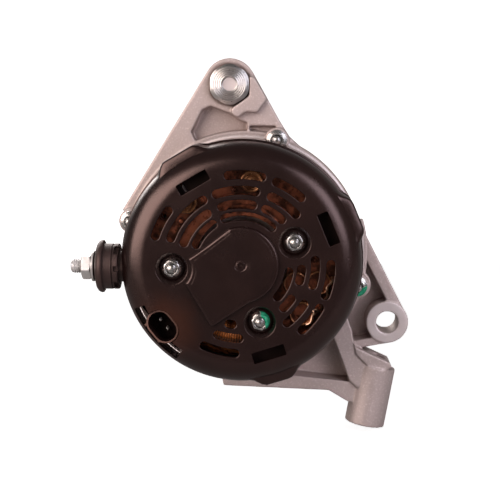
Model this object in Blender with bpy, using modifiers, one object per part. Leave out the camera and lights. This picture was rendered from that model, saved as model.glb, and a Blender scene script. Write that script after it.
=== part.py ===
"""Car alternator: a claw-pole alternator with a plastic rear cover, built as separate pieces.

The pieces are laid out on a bench frame: the rotor axis is the Z axis, z = 0 is the front end of
the shaft (pulley side) and z grows towards the rear cover. x and y lie across the machine. At the
end the whole assembly is parented to one empty that turns the rotor axis into world -Y (rear) to
+Y (pulley), so world X = x, world Z = y and world Y = -z.
All lengths below are in millimetres; the mesh helpers turn them into metres.
"""
import math

import bmesh
import bpy
from mathutils import Matrix, Vector

MM = 0.001
GAP = 0.3               # clearance left between two pieces that touch
FIT = 0.15              # radial clearance of two turned pieces that fit into each other
ROUND = 32              # facets of the large turned pieces
SMALL = 16              # facets of the small turned pieces
TINY = 8                # facets of screws and studs

# rear cover
COVER_FACE_Z = 150.0
COVER_RIM_Z = 126.0
COVER_R = 65.2
COVER_LIP_R = 66.4
COVER_WALL = 2.2
COVER_SHOULDER = 13.5
DOME_R = 20.5
DOME_RISE = 3.0
SLOT_HALF_WIDTH = 2.3
SLOT_ROWS = (47.9, 39.7, 32.4, 26.05)
SLOT_ARCS = (
    ((73.9, 100.6), (45.7, 69.4), (140.5, 164.2), (-22.6, 3.3), (-49.7, -26.0), (243.0, 269.0)),
    ((75.3, 112.2), (39.6, 69.2), (116.8, 162.4), (-19.1, 7.0), (-54.8, -28.5), (248.6, 271.8)),
    ((74.7, 112.0), (44.2, 70.0), (119.0, 162.8), (-19.4, 0.3), (-49.0, -30.0), (254.8, 265.9)),
    ((45.7, 113.8), (119.2, 160.4), (-46.0, -3.0)),
)
CLIP_ANGLES = (120.0, 22.5, -72.5)      # snap bulges on the cover's wall, each with a window
CLIP_FLAT_R = 68.0
CLIP_FLAT = (18.0, 16.0, 14.0)
CLIP_BASE_EXTRA = 11.0
CLIP_TOP_Z = 143.5
WINDOW_R = 50.4
WINDOW_SIZE = (18.0, 6.0)
COVER_STUDS = ((28.7, 11.9), (-36.9, -2.2), (10.3, -30.9))
WELL_R = 8.4
WELL_FLOOR_R = 6.4
WELL_FLOOR_Z = 144.6
COVER_STUD_TIP_Z = 151.6
WELL_SKIN = 1.6

# connector of the voltage regulator
CONNECTOR = (-42.1, -33.7)
CONNECTOR_SIZE = (17.0, 11.7)
CONNECTOR_RIM = 1.2
CONNECTOR_TOP_Z = 147.6
PIN_SPACING = 6.1

# frames
FRAME_R = 69.0
BOLT_ANGLES = (74.0, 164.0, 254.0, 344.0)
BOLT_CIRCLE_R = 67.7
LUG_R = 7.0
BOLT_R = 2.5
REAR_FRAME_R = 66.5
REAR_PLATE_Z = (118.0, 122.0)
REAR_SKIRT_Z = 93.0
REAR_VENT_R = (40.8, 57.0)
REAR_VENTS = ((45, 78), (85, 118), (125, 165), (200, 235), (242, 280), (298, 325), (332, 372))
NUT_SEAT_Z = 97.0
DRIVE_REAR_Z = 90.0
FRONT_VENT_PITCH = 45
SIDE_VENT_ANGLES = (30, 50, 100, 130, 185, 205, 225)
NOSE_Z = 42.0

# stator
CORE_Z = (72.0, 104.0)
CORE_R = 61.4
CORE_BORE_R = 48.2
SLOT_COUNT = 24
SLOT_DEPTH_R = 57.5
WINDING_R = (49.0, 58.7)
WINDING_Z = (61.8, 115.0)

# rotor
ROTOR_R = 47.5
CLAWS = 8
POLE_Z = (66.0, 110.0)
POLE_DISC = 11.0
SHAFT_R = 8.3
SHAFT_CORE_R = 9.5
SHAFT_REAR_R = 7.35
SHAFT_TAIL_R = 4.7
SLIP_RING_R = 8.0
SLIP_RING_Z = (135.5, 143.0)
SLIP_RING_HALF = 2.8
FAN_R = 45.5
FAN_BLADES = 10

# bearings: bore radius, outer radius, pitch radius, ball radius, ball count, low z, width
FRONT_BEARING = (8.5, 23.5, 16.0, 4.0, 7, 44.0, 14.0)
REAR_BEARING = (7.5, 17.5, 12.5, 2.7, 8, 113.0, 11.0)
SCREW_ANGLES = (30.0, 150.0, 270.0)     # screws of the front bearing's retainer
SCREW_CIRCLE_R = 27.4
SCREW_HOLE_R = 2.1

# brushes run on the slip rings along this direction
BRUSH_ANGLE = 225.0
BRUSH_LENGTH = 13.5
BRUSH_WIDTH = 4.6
BRUSH_HEIGHT = 5.2
SPRING_LENGTH = 10.5
SPRING_R = 1.9
SPRING_WIRE_R = 0.25
SPRING_TURNS = 5

# output terminal, along -x
TERMINAL_Y = -3.2
TERMINAL_Z = 131.0
TERMINAL_TIP_X = -93.7
TERMINAL_R = 4.0
TERMINAL_NOTCH_R = 8.9

# mounting ears
TOP_EAR = (-8.5, 96.7)
TOP_EAR_R = 15.0
TOP_EAR_Z = (68.0, 88.0)
TOP_POCKET_Z = 79.0
CAPTIVE_FLATS = 22.0
CAPTIVE_SHANK_R = 7.6
RIGHT_EAR = (84.5, -43.3)
RIGHT_EAR_R = 12.5
RIGHT_EAR_BORE_R = 6.5
RIGHT_EAR_Z = (54.0, 76.0)
BARREL_TOP = (78.3, -70.5)
BARREL_END = (71.9, -105.6)
BARREL_R = 11.9
BARREL_BORE_R = 5.2
BARREL_Z = 70.0
BARREL_BORE_PAST = (10.0, 4.0)          # the bore runs on past the top and past the end
ARM_Z = (58.0, 77.0)
WEB_TOP_Z = 79.0
STRUT_TOP_Z = 80.5

# pulley
PULLEY_R = 28.0
PULLEY_Z = (9.0, 41.0)
RIBS = 6
RIB_PITCH = 3.56
RIB_DEPTH = 2.6

MATERIALS = {
    "cover_plastic": ((0.030, 0.022, 0.021), 0.42, 0.0),
    "cast_aluminium": ((0.52, 0.48, 0.47), 0.45, 0.9),
    "varnished_plate": ((0.30, 0.12, 0.05), 0.35, 0.3),
    "zinc_steel": ((0.62, 0.62, 0.60), 0.30, 1.0),
    "bearing_steel": ((0.55, 0.55, 0.56), 0.22, 1.0),
    "lamination_steel": ((0.30, 0.29, 0.28), 0.50, 0.9),
    "rotor_steel": ((0.24, 0.23, 0.22), 0.50, 0.9),
    "copper_enamel": ((0.45, 0.16, 0.05), 0.35, 0.3),
    "slip_copper": ((0.72, 0.36, 0.22), 0.25, 1.0),
    "carbon": ((0.06, 0.06, 0.06), 0.60, 0.1),
    "insulator": ((0.05, 0.045, 0.045), 0.50, 0.0),
}


# ---------------------------------------------------------------- scene and mesh helpers

def clear_scene():
    for obj in list(bpy.data.objects):
        bpy.data.objects.remove(obj)


def new_collection(name):
    group = bpy.data.collections.new(name)
    bpy.context.scene.collection.children.link(group)
    return group


def make_materials():
    made = {}
    for name, (colour, roughness, metallic) in MATERIALS.items():
        material = bpy.data.materials.new(name)
        material.use_nodes = True
        shader = material.node_tree.nodes["Principled BSDF"]
        shader.inputs["Base Color"].default_value = (*colour, 1.0)
        shader.inputs["Roughness"].default_value = roughness
        shader.inputs["Metallic"].default_value = metallic
        made[name] = material
    return made


clear_scene()
PIECES = new_collection("car_alternator")
CUTTERS = new_collection("cutters")
CUTTERS.hide_render = True
MATERIAL = make_materials()


def add_object(name, mesh):
    obj = bpy.data.objects.new(name, mesh)
    PIECES.objects.link(obj)
    return obj


def bake(obj):
    """Replace the object's mesh by its evaluated one, with outward normals."""
    depsgraph = bpy.context.evaluated_depsgraph_get()
    mesh = bpy.data.meshes.new_from_object(obj.evaluated_get(depsgraph))
    obj.modifiers.clear()
    obj.data = mesh
    solid = bmesh.new()
    solid.from_mesh(mesh)
    bmesh.ops.remove_doubles(solid, verts=solid.verts, dist=1e-6)
    bmesh.ops.dissolve_degenerate(solid, edges=solid.edges, dist=1e-7)
    bmesh.ops.recalc_face_normals(solid, faces=solid.faces)
    solid.to_mesh(mesh)
    solid.free()
    return obj


def turned(name, profile, steps=ROUND):
    """Solid of revolution about z. A profile that starts and ends at r = 0 stays open."""
    closed = min(r for r, z in profile) > 0
    points = [Vector((r * MM, 0.0, z * MM)) for r, z in profile]
    edges = [(i, i + 1) for i in range(len(points) - 1)]
    if closed:
        edges.append((len(points) - 1, 0))
    mesh = bpy.data.meshes.new(name)
    mesh.from_pydata(points, edges, [])
    obj = add_object(name, mesh)
    screw = obj.modifiers.new("turn", "SCREW")
    screw.axis = "Z"
    screw.angle = math.tau
    screw.steps = steps
    screw.render_steps = steps
    screw.use_merge_vertices = True
    screw.merge_threshold = 1e-5
    return bake(obj)


def cylinder(name, radius, z0, z1, centre=(0.0, 0.0), steps=SMALL):
    obj = turned(name, [(0, z1), (radius, z1), (radius, z0), (0, z0)], steps)
    return moved(obj, Matrix.Translation((centre[0] * MM, centre[1] * MM, 0)))


def tube(name, outer, inner, z0, z1, steps=SMALL):
    return turned(name, [(outer, z1), (outer, z0), (inner, z0), (inner, z1)], steps)


def moved(obj, matrix):
    """Apply a transform to the mesh itself, so pieces share one origin."""
    obj.data.transform(matrix)
    obj.data.update()
    return obj


def prism(name, outline, z0, z1):
    """A flat outline given a thickness."""
    curve = bpy.data.curves.new(name, "CURVE")
    curve.dimensions = "2D"
    curve.fill_mode = "BOTH"
    curve.extrude = (z1 - z0) / 2 * MM
    spline = curve.splines.new("POLY")
    spline.points.add(len(outline) - 1)
    for point, (x, y) in zip(spline.points, outline):
        point.co = (x * MM, y * MM, 0.0, 1.0)
    spline.use_cyclic_u = True
    guide = bpy.data.objects.new(name + "_outline", curve)
    PIECES.objects.link(guide)
    depsgraph = bpy.context.evaluated_depsgraph_get()
    mesh = bpy.data.meshes.new_from_object(guide.evaluated_get(depsgraph))
    bpy.data.objects.remove(guide)
    obj = add_object(name, mesh)
    bake(obj)
    return moved(obj, Matrix.Translation((0, 0, (z0 + z1) / 2 * MM)))


def box(name, low, high):
    size = [(b - a) * MM for a, b in zip(low, high)]
    middle = [(a + b) / 2 * MM for a, b in zip(low, high)]
    mesh = bpy.data.meshes.new(name)
    solid = bmesh.new()
    place = Matrix.Translation(middle) @ Matrix.Diagonal((*size, 1.0))
    bmesh.ops.create_cube(solid, size=1.0, matrix=place)
    solid.to_mesh(mesh)
    solid.free()
    return add_object(name, mesh)


def boolean(target, tool, operation):
    """One exact Boolean. The tool goes through the cutters' collection and is then removed."""
    modifier = target.modifiers.new(operation.lower(), "BOOLEAN")
    modifier.operation = operation
    modifier.solver = "EXACT"
    modifier.object = tool
    PIECES.objects.unlink(tool)
    CUTTERS.objects.link(tool)
    tool.display_type = "WIRE"
    bake(target)
    bpy.data.objects.remove(tool)
    return target


def join(target, *tools):
    for tool in tools:
        boolean(target, tool, "UNION")
    return target


def cut(target, *tools):
    for tool in tools:
        boolean(target, tool, "DIFFERENCE")
    return target


def gather(name, objects):
    """One mesh holding several separate shapes, for one Boolean with all of them."""
    mesh = bpy.data.meshes.new(name)
    solid = bmesh.new()
    for obj in objects:
        solid.from_mesh(obj.data)
        bpy.data.objects.remove(obj)
    solid.to_mesh(mesh)
    solid.free()
    return add_object(name, mesh)


def polar(radius, degrees):
    angle = math.radians(degrees)
    return (radius * math.cos(angle), radius * math.sin(angle))


def arc(centre, radius, start, end, count):
    """Points along an arc, both ends included."""
    points = []
    for i in range(count + 1):
        x, y = polar(radius, start + (end - start) * i / count)
        points.append((centre[0] + x, centre[1] + y))
    return points


def arc_slot(radius, half_width, start, end):
    """Outline of a slot that follows an arc about the axis, with round ends inside its span."""
    end_angle = math.degrees(half_width / radius)
    start += end_angle
    end -= end_angle
    steps = max(2, round((end - start) / 9))
    outline = arc((0, 0), radius + half_width, start, end, steps)
    outline += arc(polar(radius, end), half_width, end, end + 180, 3)[1:-1]
    outline += arc((0, 0), radius - half_width, end, start, steps)
    outline += arc(polar(radius, start), half_width, start - 180, start, 3)[1:-1]
    return outline


def sector(inner, outer, start, end, steps=3):
    return arc((0, 0), outer, start, end, steps) + arc((0, 0), inner, end, start, steps)


def stadium(centre, length, width, degrees, count=7):
    """Outline of a rounded bar whose long axis lies at the given angle."""
    offset = polar((length - width) / 2, degrees)
    one = (centre[0] + offset[0], centre[1] + offset[1])
    two = (centre[0] - offset[0], centre[1] - offset[1])
    side = degrees - 90
    return (arc(one, width / 2, side, side + 180, count)
            + arc(two, width / 2, side + 180, side + 360, count))


def bar(centre, length, width, degrees):
    """Outline of a rectangle whose length lies at the given angle."""
    along = Vector(polar(1.0, degrees))
    across = Vector(polar(1.0, degrees + 90))
    middle = Vector(centre)
    corners = ((1, 1), (-1, 1), (-1, -1), (1, -1))
    return [tuple(middle + along * a * length / 2 + across * b * width / 2) for a, b in corners]


def strip(start, end, width):
    """Outline of a straight rib between two points."""
    run = Vector(end) - Vector(start)
    middle = (Vector(start) + Vector(end)) / 2
    return bar(tuple(middle), run.length, width, math.degrees(math.atan2(run.y, run.x)))


def hexagon(centre, flats, turn=0.0):
    radius = flats / math.sqrt(3)
    return [(centre[0] + x, centre[1] + y) for x, y in (polar(radius, turn + 60 * i) for i in range(6))]


def along_x(obj, y, z):
    """Lay a piece made about the z axis along x (z becomes -x) at the given y and z."""
    turn = Matrix.Rotation(math.radians(-90), 4, "Y")
    return moved(obj, Matrix.Translation((0, y * MM, z * MM)) @ turn)


def merge_flat_faces(obj):
    """Faces that lie in one plane become one face."""
    solid = bmesh.new()
    solid.from_mesh(obj.data)
    bmesh.ops.dissolve_limit(solid, angle_limit=math.radians(1.5), verts=solid.verts,
                             edges=solid.edges, delimit=set())
    bmesh.ops.triangulate(solid, faces=[f for f in solid.faces if len(f.verts) > 4])
    solid.to_mesh(obj.data)
    solid.free()


def finished(obj, material, sharp_angle=35.0):
    merge_flat_faces(obj)
    obj.data.materials.clear()
    obj.data.materials.append(MATERIAL[material])
    obj.data.shade_smooth()
    obj.data.set_sharp_from_angle(angle=math.radians(sharp_angle))
    return obj


# ---------------------------------------------------------------- rear cover and its fixings

def clip_bulge(angle, flat, low_r):
    """Bulge with a flat outer face that widens towards the cover's wall."""
    x0, y0 = polar(1.0, angle)
    x1, y1 = polar(1.0, angle + 90)
    rows = ((CLIP_FLAT_R, flat / 2), (low_r, (flat + CLIP_BASE_EXTRA) / 2))
    outline = []
    for radius, half in rows:
        signs = (1, -1) if radius == low_r else (-1, 1)
        for sign in signs:
            outline.append((x0 * radius + x1 * half * sign, y0 * radius + y1 * half * sign))
    return outline


def raised_outline():
    """Dome over the slip rings and the panel over the brushes, which runs to a blunt corner."""
    edge = arc((0, 0), DOME_R, -75, 110, 14)
    edge += [(-9.5, 17.0), (-21.0, 8.1)]
    edge += arc(COVER_STUDS[1], 10.6, 32, -47, 6)
    edge += [(-15.6, -33.6)]
    return edge


def rear_cover():
    inside = COVER_R - COVER_WALL
    outer = [(0, COVER_FACE_Z)]
    outer += arc((COVER_R - COVER_SHOULDER, COVER_FACE_Z - COVER_SHOULDER), COVER_SHOULDER, 90, 0, 5)
    outer += [(COVER_LIP_R, COVER_RIM_Z), (0, COVER_RIM_Z)]
    cover = turned("rear_cover", outer)
    for angle, flat in zip(CLIP_ANGLES, CLIP_FLAT):
        join(cover, prism("bulge", clip_bulge(angle, flat, COVER_R - 4), COVER_RIM_Z, CLIP_TOP_Z))
    inner_shoulder = COVER_SHOULDER - COVER_WALL
    hollow = [(0, COVER_FACE_Z - COVER_WALL)]
    hollow += arc((inside - inner_shoulder, COVER_FACE_Z - COVER_SHOULDER), inner_shoulder, 90, 0, 4)
    hollow += [(inside, COVER_RIM_Z - 1), (0, COVER_RIM_Z - 1)]
    cut(cover, turned("hollow", hollow))
    dome_z = COVER_FACE_Z + DOME_RISE
    join(cover, prism("raised", raised_outline(), COVER_FACE_Z - 1.2, dome_z))
    cut(cover, cylinder("dome_room", DOME_R - COVER_WALL, COVER_FACE_Z - 4, dome_z - COVER_WALL,
                        steps=28))
    for well in COVER_STUDS:
        join(cover, cylinder("well", WELL_R + WELL_SKIN, WELL_FLOOR_Z - COVER_WALL,
                             COVER_FACE_Z - 0.6, well))
        funnel = [(0, COVER_FACE_Z + 2), (WELL_R, COVER_FACE_Z + 2), (WELL_R, COVER_FACE_Z),
                  (WELL_FLOOR_R, WELL_FLOOR_Z), (0, WELL_FLOOR_Z)]
        room = turned("well_room", funnel, SMALL)
        cut(cover, moved(room, Matrix.Translation((well[0] * MM, well[1] * MM, 0))))
    through = (COVER_RIM_Z + 16.5, dome_z + 2)
    openings = [prism("slot", arc_slot(radius, SLOT_HALF_WIDTH, *span), COVER_FACE_Z - 4, dome_z - 2)
                for radius, spans in zip(SLOT_ROWS, SLOT_ARCS) for span in spans]
    for angle in CLIP_ANGLES:
        openings.append(prism("window", bar(polar(WINDOW_R, angle), *WINDOW_SIZE, angle + 90),
                              *through))
    for well in COVER_STUDS:
        openings.append(cylinder("stud_hole", BOLT_R + GAP, WELL_FLOOR_Z - 4, WELL_FLOOR_Z + 1, well,
                                 TINY))
    cut(cover, gather("openings", openings))
    turn = math.degrees(math.atan2(CONNECTOR[1], CONNECTOR[0])) + 90
    clear = 2 * (CONNECTOR_RIM + GAP)
    socket = stadium(CONNECTOR, CONNECTOR_SIZE[0] + clear, CONNECTOR_SIZE[1] + clear, turn)
    cut(cover, prism("socket_room", socket, COVER_RIM_Z + 2, dome_z))
    cut(cover, prism("side_room", sector(57.2, 62.6, 203, 234), COVER_RIM_Z + 9, dome_z))
    notch = along_x(cylinder("notch", TERMINAL_NOTCH_R, 40, 80), TERMINAL_Y, TERMINAL_Z)
    cut(cover, notch)
    return finished(cover, "cover_plastic")


def flange_nut(name, centre, z, flats, height, flange_r, hole_r, turn=0.0):
    nut = prism(name, hexagon(centre, flats, turn), z + 0.6, z + height)
    join(nut, cylinder("flange", flange_r, z, z + 1.4, centre, 12))
    cut(nut, cylinder("hole", hole_r, z - 1, z + height + 1, centre, TINY))
    return finished(nut, "zinc_steel")


def cover_fixings():
    for number, centre in enumerate(COVER_STUDS, 1):
        stud = cylinder(f"cover_stud_{number}", BOLT_R, REAR_PLATE_Z[0] + 1, COVER_STUD_TIP_Z,
                        centre, TINY)
        collar_top = WELL_FLOOR_Z - COVER_WALL - GAP
        join(stud, cylinder("collar", 4.0, REAR_PLATE_Z[1] + GAP, collar_top, centre, TINY))
        finished(stud, "zinc_steel")
        flange_nut(f"cover_nut_{number}", centre, WELL_FLOOR_Z + GAP, 8.0, 5.0, 5.35,
                   BOLT_R + FIT, 15.0 * number)


# ---------------------------------------------------------------- frames

def rear_end_frame():
    low, high = REAR_PLATE_Z
    outer = [(0, high), (REAR_FRAME_R - 2, high), (REAR_FRAME_R, high - 2),
             (REAR_FRAME_R, REAR_SKIRT_Z), (0, REAR_SKIRT_Z)]
    frame = turned("rear_end_frame", outer)
    join(frame, cylinder("hub", 22, high - 1, 126, steps=24))
    lugs = [cylinder("lug", LUG_R, REAR_SKIRT_Z, NUT_SEAT_Z, polar(BOLT_CIRCLE_R, a), 12)
            for a in BOLT_ANGLES]
    join(frame, gather("lugs", lugs))
    bearing_top = REAR_BEARING[5] + REAR_BEARING[6] + GAP
    room = [(0, 127), (14.6, 127), (14.6, bearing_top), (REAR_BEARING[1] + FIT, bearing_top),
            (REAR_BEARING[1] + FIT, 112.4), (22, 112.4), (22, low), (59.4, low),
            (59.4, CORE_Z[1] + GAP), (CORE_R + GAP, CORE_Z[1] + GAP),
            (CORE_R + GAP, REAR_SKIRT_Z - 1), (0, REAR_SKIRT_Z - 1)]
    cut(frame, turned("room", room))
    scallops = [cylinder("scallop", 6.6, NUT_SEAT_Z, high + 2, polar(BOLT_CIRCLE_R, a), 12)
                for a in BOLT_ANGLES]
    cut(frame, gather("scallops", scallops))
    holes = [cylinder("bolt_hole", BOLT_R + GAP, REAR_SKIRT_Z - 2, NUT_SEAT_Z + 1,
                      polar(BOLT_CIRCLE_R, a), TINY) for a in BOLT_ANGLES]
    holes += [cylinder("stud_hole", BOLT_R + GAP, low - 3, high + 2, c, TINY) for c in COVER_STUDS]
    holes += [prism("vent", sector(*REAR_VENT_R, a, b), low - 3, high + 2) for a, b in REAR_VENTS]
    cut(frame, gather("holes", holes))
    return finished(frame, "cast_aluminium")


def top_ear_outline():
    cx, cy = TOP_EAR
    left = polar(TOP_EAR_R, 148.7)
    edge = [(-71.2, 24.4), (cx + left[0], cy + left[1])]
    edge += arc(TOP_EAR, TOP_EAR_R, 148.7, 29.5, 9)[1:]
    edge += [(20.2, 76.0), (26.1, 66.6), (32.4, 61.0), (20.0, 50.0), (-55.0, 20.0)]
    return edge[::-1]


def anti_turn_pad():
    """Pad beside the captive nut: it hugs the right and the lower right flats."""
    cx, cy = TOP_EAR
    near = CAPTIVE_FLATS / 2 + GAP
    corner = near * math.tan(math.radians(30))
    pad = [(cx + near, cy + 5.0), (cx + near, cy - corner)]
    pad += [(cx + 1.2, cy - 2 * corner - 0.6), (cx + 1.0, cy - 16.5), (cx + 4.5, cy - 19.0)]
    pad += [(cx + 9.0, cy - 15.6), (cx + 16.0, cy - 15.8), (cx + 19.0, cy - 11.5), (cx + 21.6, cy - 8.5)]
    pad += [(cx + 14.2, cy + 4.0)]
    return pad[::-1]


def top_pocket():
    """Scoop between the ear and the round body."""
    edge = [(-24.5, 82.5), (-19.5, 84.5), (-8.5, 80.2), (-3.0, 76.4), (1.5, 75.0)]
    return edge + arc((0, 0), FRAME_R + 1.3, 88.5, 114, 5) + [(-31.0, 69.5)]


def drive_end_frame():
    outer = [(0, DRIVE_REAR_Z), (FRAME_R, DRIVE_REAR_Z), (FRAME_R, 62), (64, 54), (31, 46),
             (28.5, NOSE_Z), (0, NOSE_Z)]
    frame = turned("drive_end_frame", outer)
    lugs = [cylinder("lug", LUG_R, 62, DRIVE_REAR_Z, polar(BOLT_CIRCLE_R, a), 12)
            for a in BOLT_ANGLES]
    join(frame, gather("lugs", lugs))

    top = TOP_EAR_Z[1]
    join(frame, prism("top_ear", top_ear_outline(), *TOP_EAR_Z))
    join(frame, prism("pad", anti_turn_pad(), top - 1, top + 4.2))
    cut(frame, prism("top_pocket", top_pocket(), TOP_POCKET_Z, top + 6))
    cut(frame, cylinder("ear_bore", CAPTIVE_SHANK_R + FIT, TOP_EAR_Z[0] - 2, top + 1, TOP_EAR))

    low, high = RIGHT_EAR_Z
    floor = [(61.0, 16.0), (71.2, 9.4), (82.5, -12.1), (92.9, -33.2), (96.0, -40.0), (88.0, -55.2),
             (76.2, -58.7), (66.0, -60.6), (54.0, -44.0)]
    join(frame, prism("right_floor", floor[::-1], low + 2, low + 6))
    join(frame, prism("outer_rib", strip((66.0, 12.1), (92.2, -38.9), 6.8), low + 2, high - 1))
    join(frame, prism("bottom_rib", strip((62.0, -57.8), (86.0, -53.4), 4.8), low + 2, high - 1))
    join(frame, cylinder("ear_boss", RIGHT_EAR_R, low, high, RIGHT_EAR, 24))

    arm_low, arm_high = ARM_Z
    floor = [(-17.0, -60.0), (-12.8, -81.8), (49.9, -84.3), (60.9, -90.8), (80.0, -86.0),
             (79.0, -69.5), (66.0, -60.5), (58.0, -40.0)]
    join(frame, prism("arm_floor", floor, arm_low, arm_low + 4))
    join(frame, prism("arm", [(-13.0, -81.9), (50.0, -84.4), (61.0, -91.0), (66.5, -91.5), (66.5, -79.5),
                              (58.5, -78.8), (30.4, -75.8), (-15.0, -72.7)], arm_low, arm_high))
    join(frame, prism("web", [(51.5, -50.5), (53.5, -54.8), (62.0, -77.8), (66.0, -82.0), (76.0, -80.0),
                              (77.0, -70.0), (73.1, -66.2), (69.6, -64.4), (64.7, -55.9), (63.5, -47.5),
                              (61.0, -40.5), (54.0, -41.0)], arm_low, WEB_TOP_Z))
    join(frame, prism("strut", [(64.3, -54.5), (66.2, -58.0), (86.1, -67.1), (87.5, -70.0), (80.0, -72.0),
                                (73.0, -69.0), (66.0, -62.0)], arm_low, STRUT_TOP_Z))
    join(frame, barrel("barrel", BARREL_R, (0.0, 0.0), 24))
    cut(frame, barrel("barrel_bore", BARREL_BORE_R, BARREL_BORE_PAST, SMALL))
    cut(frame, cylinder("ear_hole", RIGHT_EAR_BORE_R, low - 2, high + 2, RIGHT_EAR))

    bearing = FRONT_BEARING
    room = [(0, 92), (CORE_R + GAP, 92), (CORE_R + GAP, CORE_Z[0] - GAP), (59.4, CORE_Z[0] - GAP),
            (59.4, 61), (56, 58.5), (31, 51.5), (31, 58.3), (bearing[1] + FIT, 58.3),
            (bearing[1] + FIT, bearing[5] - GAP), (20, bearing[5] - GAP), (20, NOSE_Z - 1),
            (0, NOSE_Z - 1)]
    cut(frame, turned("room", room))
    bolt_holes = [cylinder("bolt_hole", BOLT_R + GAP, 60, DRIVE_REAR_Z + 2,
                           polar(BOLT_CIRCLE_R, a), TINY) for a in BOLT_ANGLES]
    cut(frame, gather("bolt_holes", bolt_holes))
    holes = [cylinder("head_room", 6.2, 50, 62, polar(BOLT_CIRCLE_R, a), 12) for a in BOLT_ANGLES]
    holes += [cylinder("screw_hole", SCREW_HOLE_R, 49, 60, polar(SCREW_CIRCLE_R, a), 12)
              for a in SCREW_ANGLES]
    holes += [prism("front_vent", sector(35, 54, a + 5, a + 40, 2), 40, 60)
              for a in range(0, 360, FRONT_VENT_PITCH)]
    cut(frame, gather("holes", holes))
    vents = [prism("side_vent", bar(polar(65, a), 16, 10.5, a), 59.4, 66.8)
             for a in SIDE_VENT_ANGLES]
    cut(frame, gather("vents", vents))
    return finished(frame, "cast_aluminium")


def barrel(name, radius, past, steps):
    """Cylinder that lies across the rotor axis, at the end of the lower arm."""
    start = Vector((*BARREL_TOP, BARREL_Z))
    end = Vector((*BARREL_END, BARREL_Z))
    run = end - start
    half = run.length / 2
    obj = cylinder(name, radius, -half - past[0], half + past[1], steps=steps)
    turn = Vector((0, 0, 1)).rotation_difference(run).to_matrix().to_4x4()
    return moved(obj, Matrix.Translation((start + end) / 2 * MM) @ turn)


def captive_nut():
    top = TOP_EAR_Z[1] + GAP
    nut = prism("captive_nut", hexagon(TOP_EAR, CAPTIVE_FLATS, 30), top, top + 5.7)
    join(nut, cylinder("shank", CAPTIVE_SHANK_R, TOP_EAR_Z[0], top + 1, TOP_EAR))
    cut(nut, cylinder("thread", 5.1, TOP_EAR_Z[0] - 1, top + 2.5, TOP_EAR, 12))
    cut(nut, cylinder("dimple", 4.2, top + 4.9, top + 7, TOP_EAR, 12))
    return finished(nut, "zinc_steel")


def through_bolts():
    for number, angle in enumerate(BOLT_ANGLES, 1):
        centre = polar(BOLT_CIRCLE_R, angle)
        bolt = cylinder(f"through_bolt_{number}", BOLT_R, 58.5, 105.5, centre, TINY)
        join(bolt, prism("head", hexagon(centre, 8.0, angle), 56.4, 61.7))
        finished(bolt, "zinc_steel")
        flange_nut(f"through_bolt_nut_{number}", centre, NUT_SEAT_Z + GAP, 8.0, 5.4, 5.9,
                   BOLT_R + FIT, angle)


# ---------------------------------------------------------------- stator

def slot_blocks(name, width, r0, r1, z0, z1):
    blocks = []
    for i in range(SLOT_COUNT):
        angle = 360.0 * i / SLOT_COUNT
        blocks.append(prism(name, bar(polar((r0 + r1) / 2, angle), r1 - r0, width, angle), z0, z1))
    return gather(name, blocks)


def stator():
    core = tube("stator_core", CORE_R, CORE_BORE_R, *CORE_Z, steps=ROUND)
    cut(core, slot_blocks("slots", 3.2, CORE_BORE_R - 2, SLOT_DEPTH_R, CORE_Z[0] - 1, CORE_Z[1] + 1))
    finished(core, "lamination_steel")
    winding = tube("stator_winding", WINDING_R[1], WINDING_R[0], CORE_Z[1] + GAP, WINDING_Z[1],
                   steps=ROUND)
    front = tube("front_turns", WINDING_R[1], WINDING_R[0], WINDING_Z[0], CORE_Z[0] - GAP,
                 steps=ROUND)
    bars = slot_blocks("bars", 2.6, WINDING_R[0] + 0.6, SLOT_DEPTH_R - 0.5, CORE_Z[0] - 2,
                       CORE_Z[1] + 2)
    join(winding, bars, front)
    finished(winding, "copper_enamel")


# ---------------------------------------------------------------- bearings

def ring_profile(land_r, back_r, z0, z1, pitch_r, groove_r):
    """Half of a ball bearing: a ring with a groove that faces the pitch circle."""
    middle = (z0 + z1) / 2
    reach = math.sqrt(groove_r ** 2 - (land_r - pitch_r) ** 2)
    half = math.degrees(math.asin(reach / groove_r))
    facing = 180.0 if land_r < pitch_r else 0.0
    sign = 1 if facing == 0.0 else -1
    groove = []
    for i in range(4):
        angle = math.radians(half - 2 * half * i / 3)
        groove.append((pitch_r + sign * groove_r * math.cos(angle), middle + groove_r * math.sin(angle)))
    return [(back_r, z1), (land_r, z1)] + groove + [(land_r, z0), (back_r, z0)]


def bearing(prefix, spec):
    bore_r, outer_r, pitch_r, ball_r, count, z0, width = spec
    z1 = z0 + width
    land = ball_r * 0.70
    groove = ball_r + 0.45
    outer = turned(prefix + "_outer_ring",
                   ring_profile(pitch_r + land, outer_r, z0, z1, pitch_r, groove), 20)
    inner = turned(prefix + "_inner_ring",
                   ring_profile(pitch_r - land, bore_r, z0, z1, pitch_r, groove), 20)
    finished(outer, "bearing_steel")
    finished(inner, "bearing_steel")
    middle = (z0 + z1) / 2
    cage_half = ball_r * 0.45
    cage = turned(prefix + "_balls", [(pitch_r + ball_r * 0.2, middle + cage_half),
                                      (pitch_r + ball_r * 0.2, middle - cage_half),
                                      (pitch_r - ball_r * 0.2, middle - cage_half),
                                      (pitch_r - ball_r * 0.2, middle + cage_half)], 2 * count)
    balls = []
    for i in range(count):
        x, y = polar(pitch_r, 360.0 * i / count)
        ball = bpy.data.meshes.new("ball")
        solid = bmesh.new()
        bmesh.ops.create_uvsphere(solid, u_segments=6, v_segments=4, radius=ball_r * MM,
                                  matrix=Matrix.Translation((x * MM, y * MM, middle * MM)))
        solid.to_mesh(ball)
        solid.free()
        balls.append(add_object("ball", ball))
    join(cage, gather("ball_set", balls))
    finished(cage, "bearing_steel", 50.0)


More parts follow.
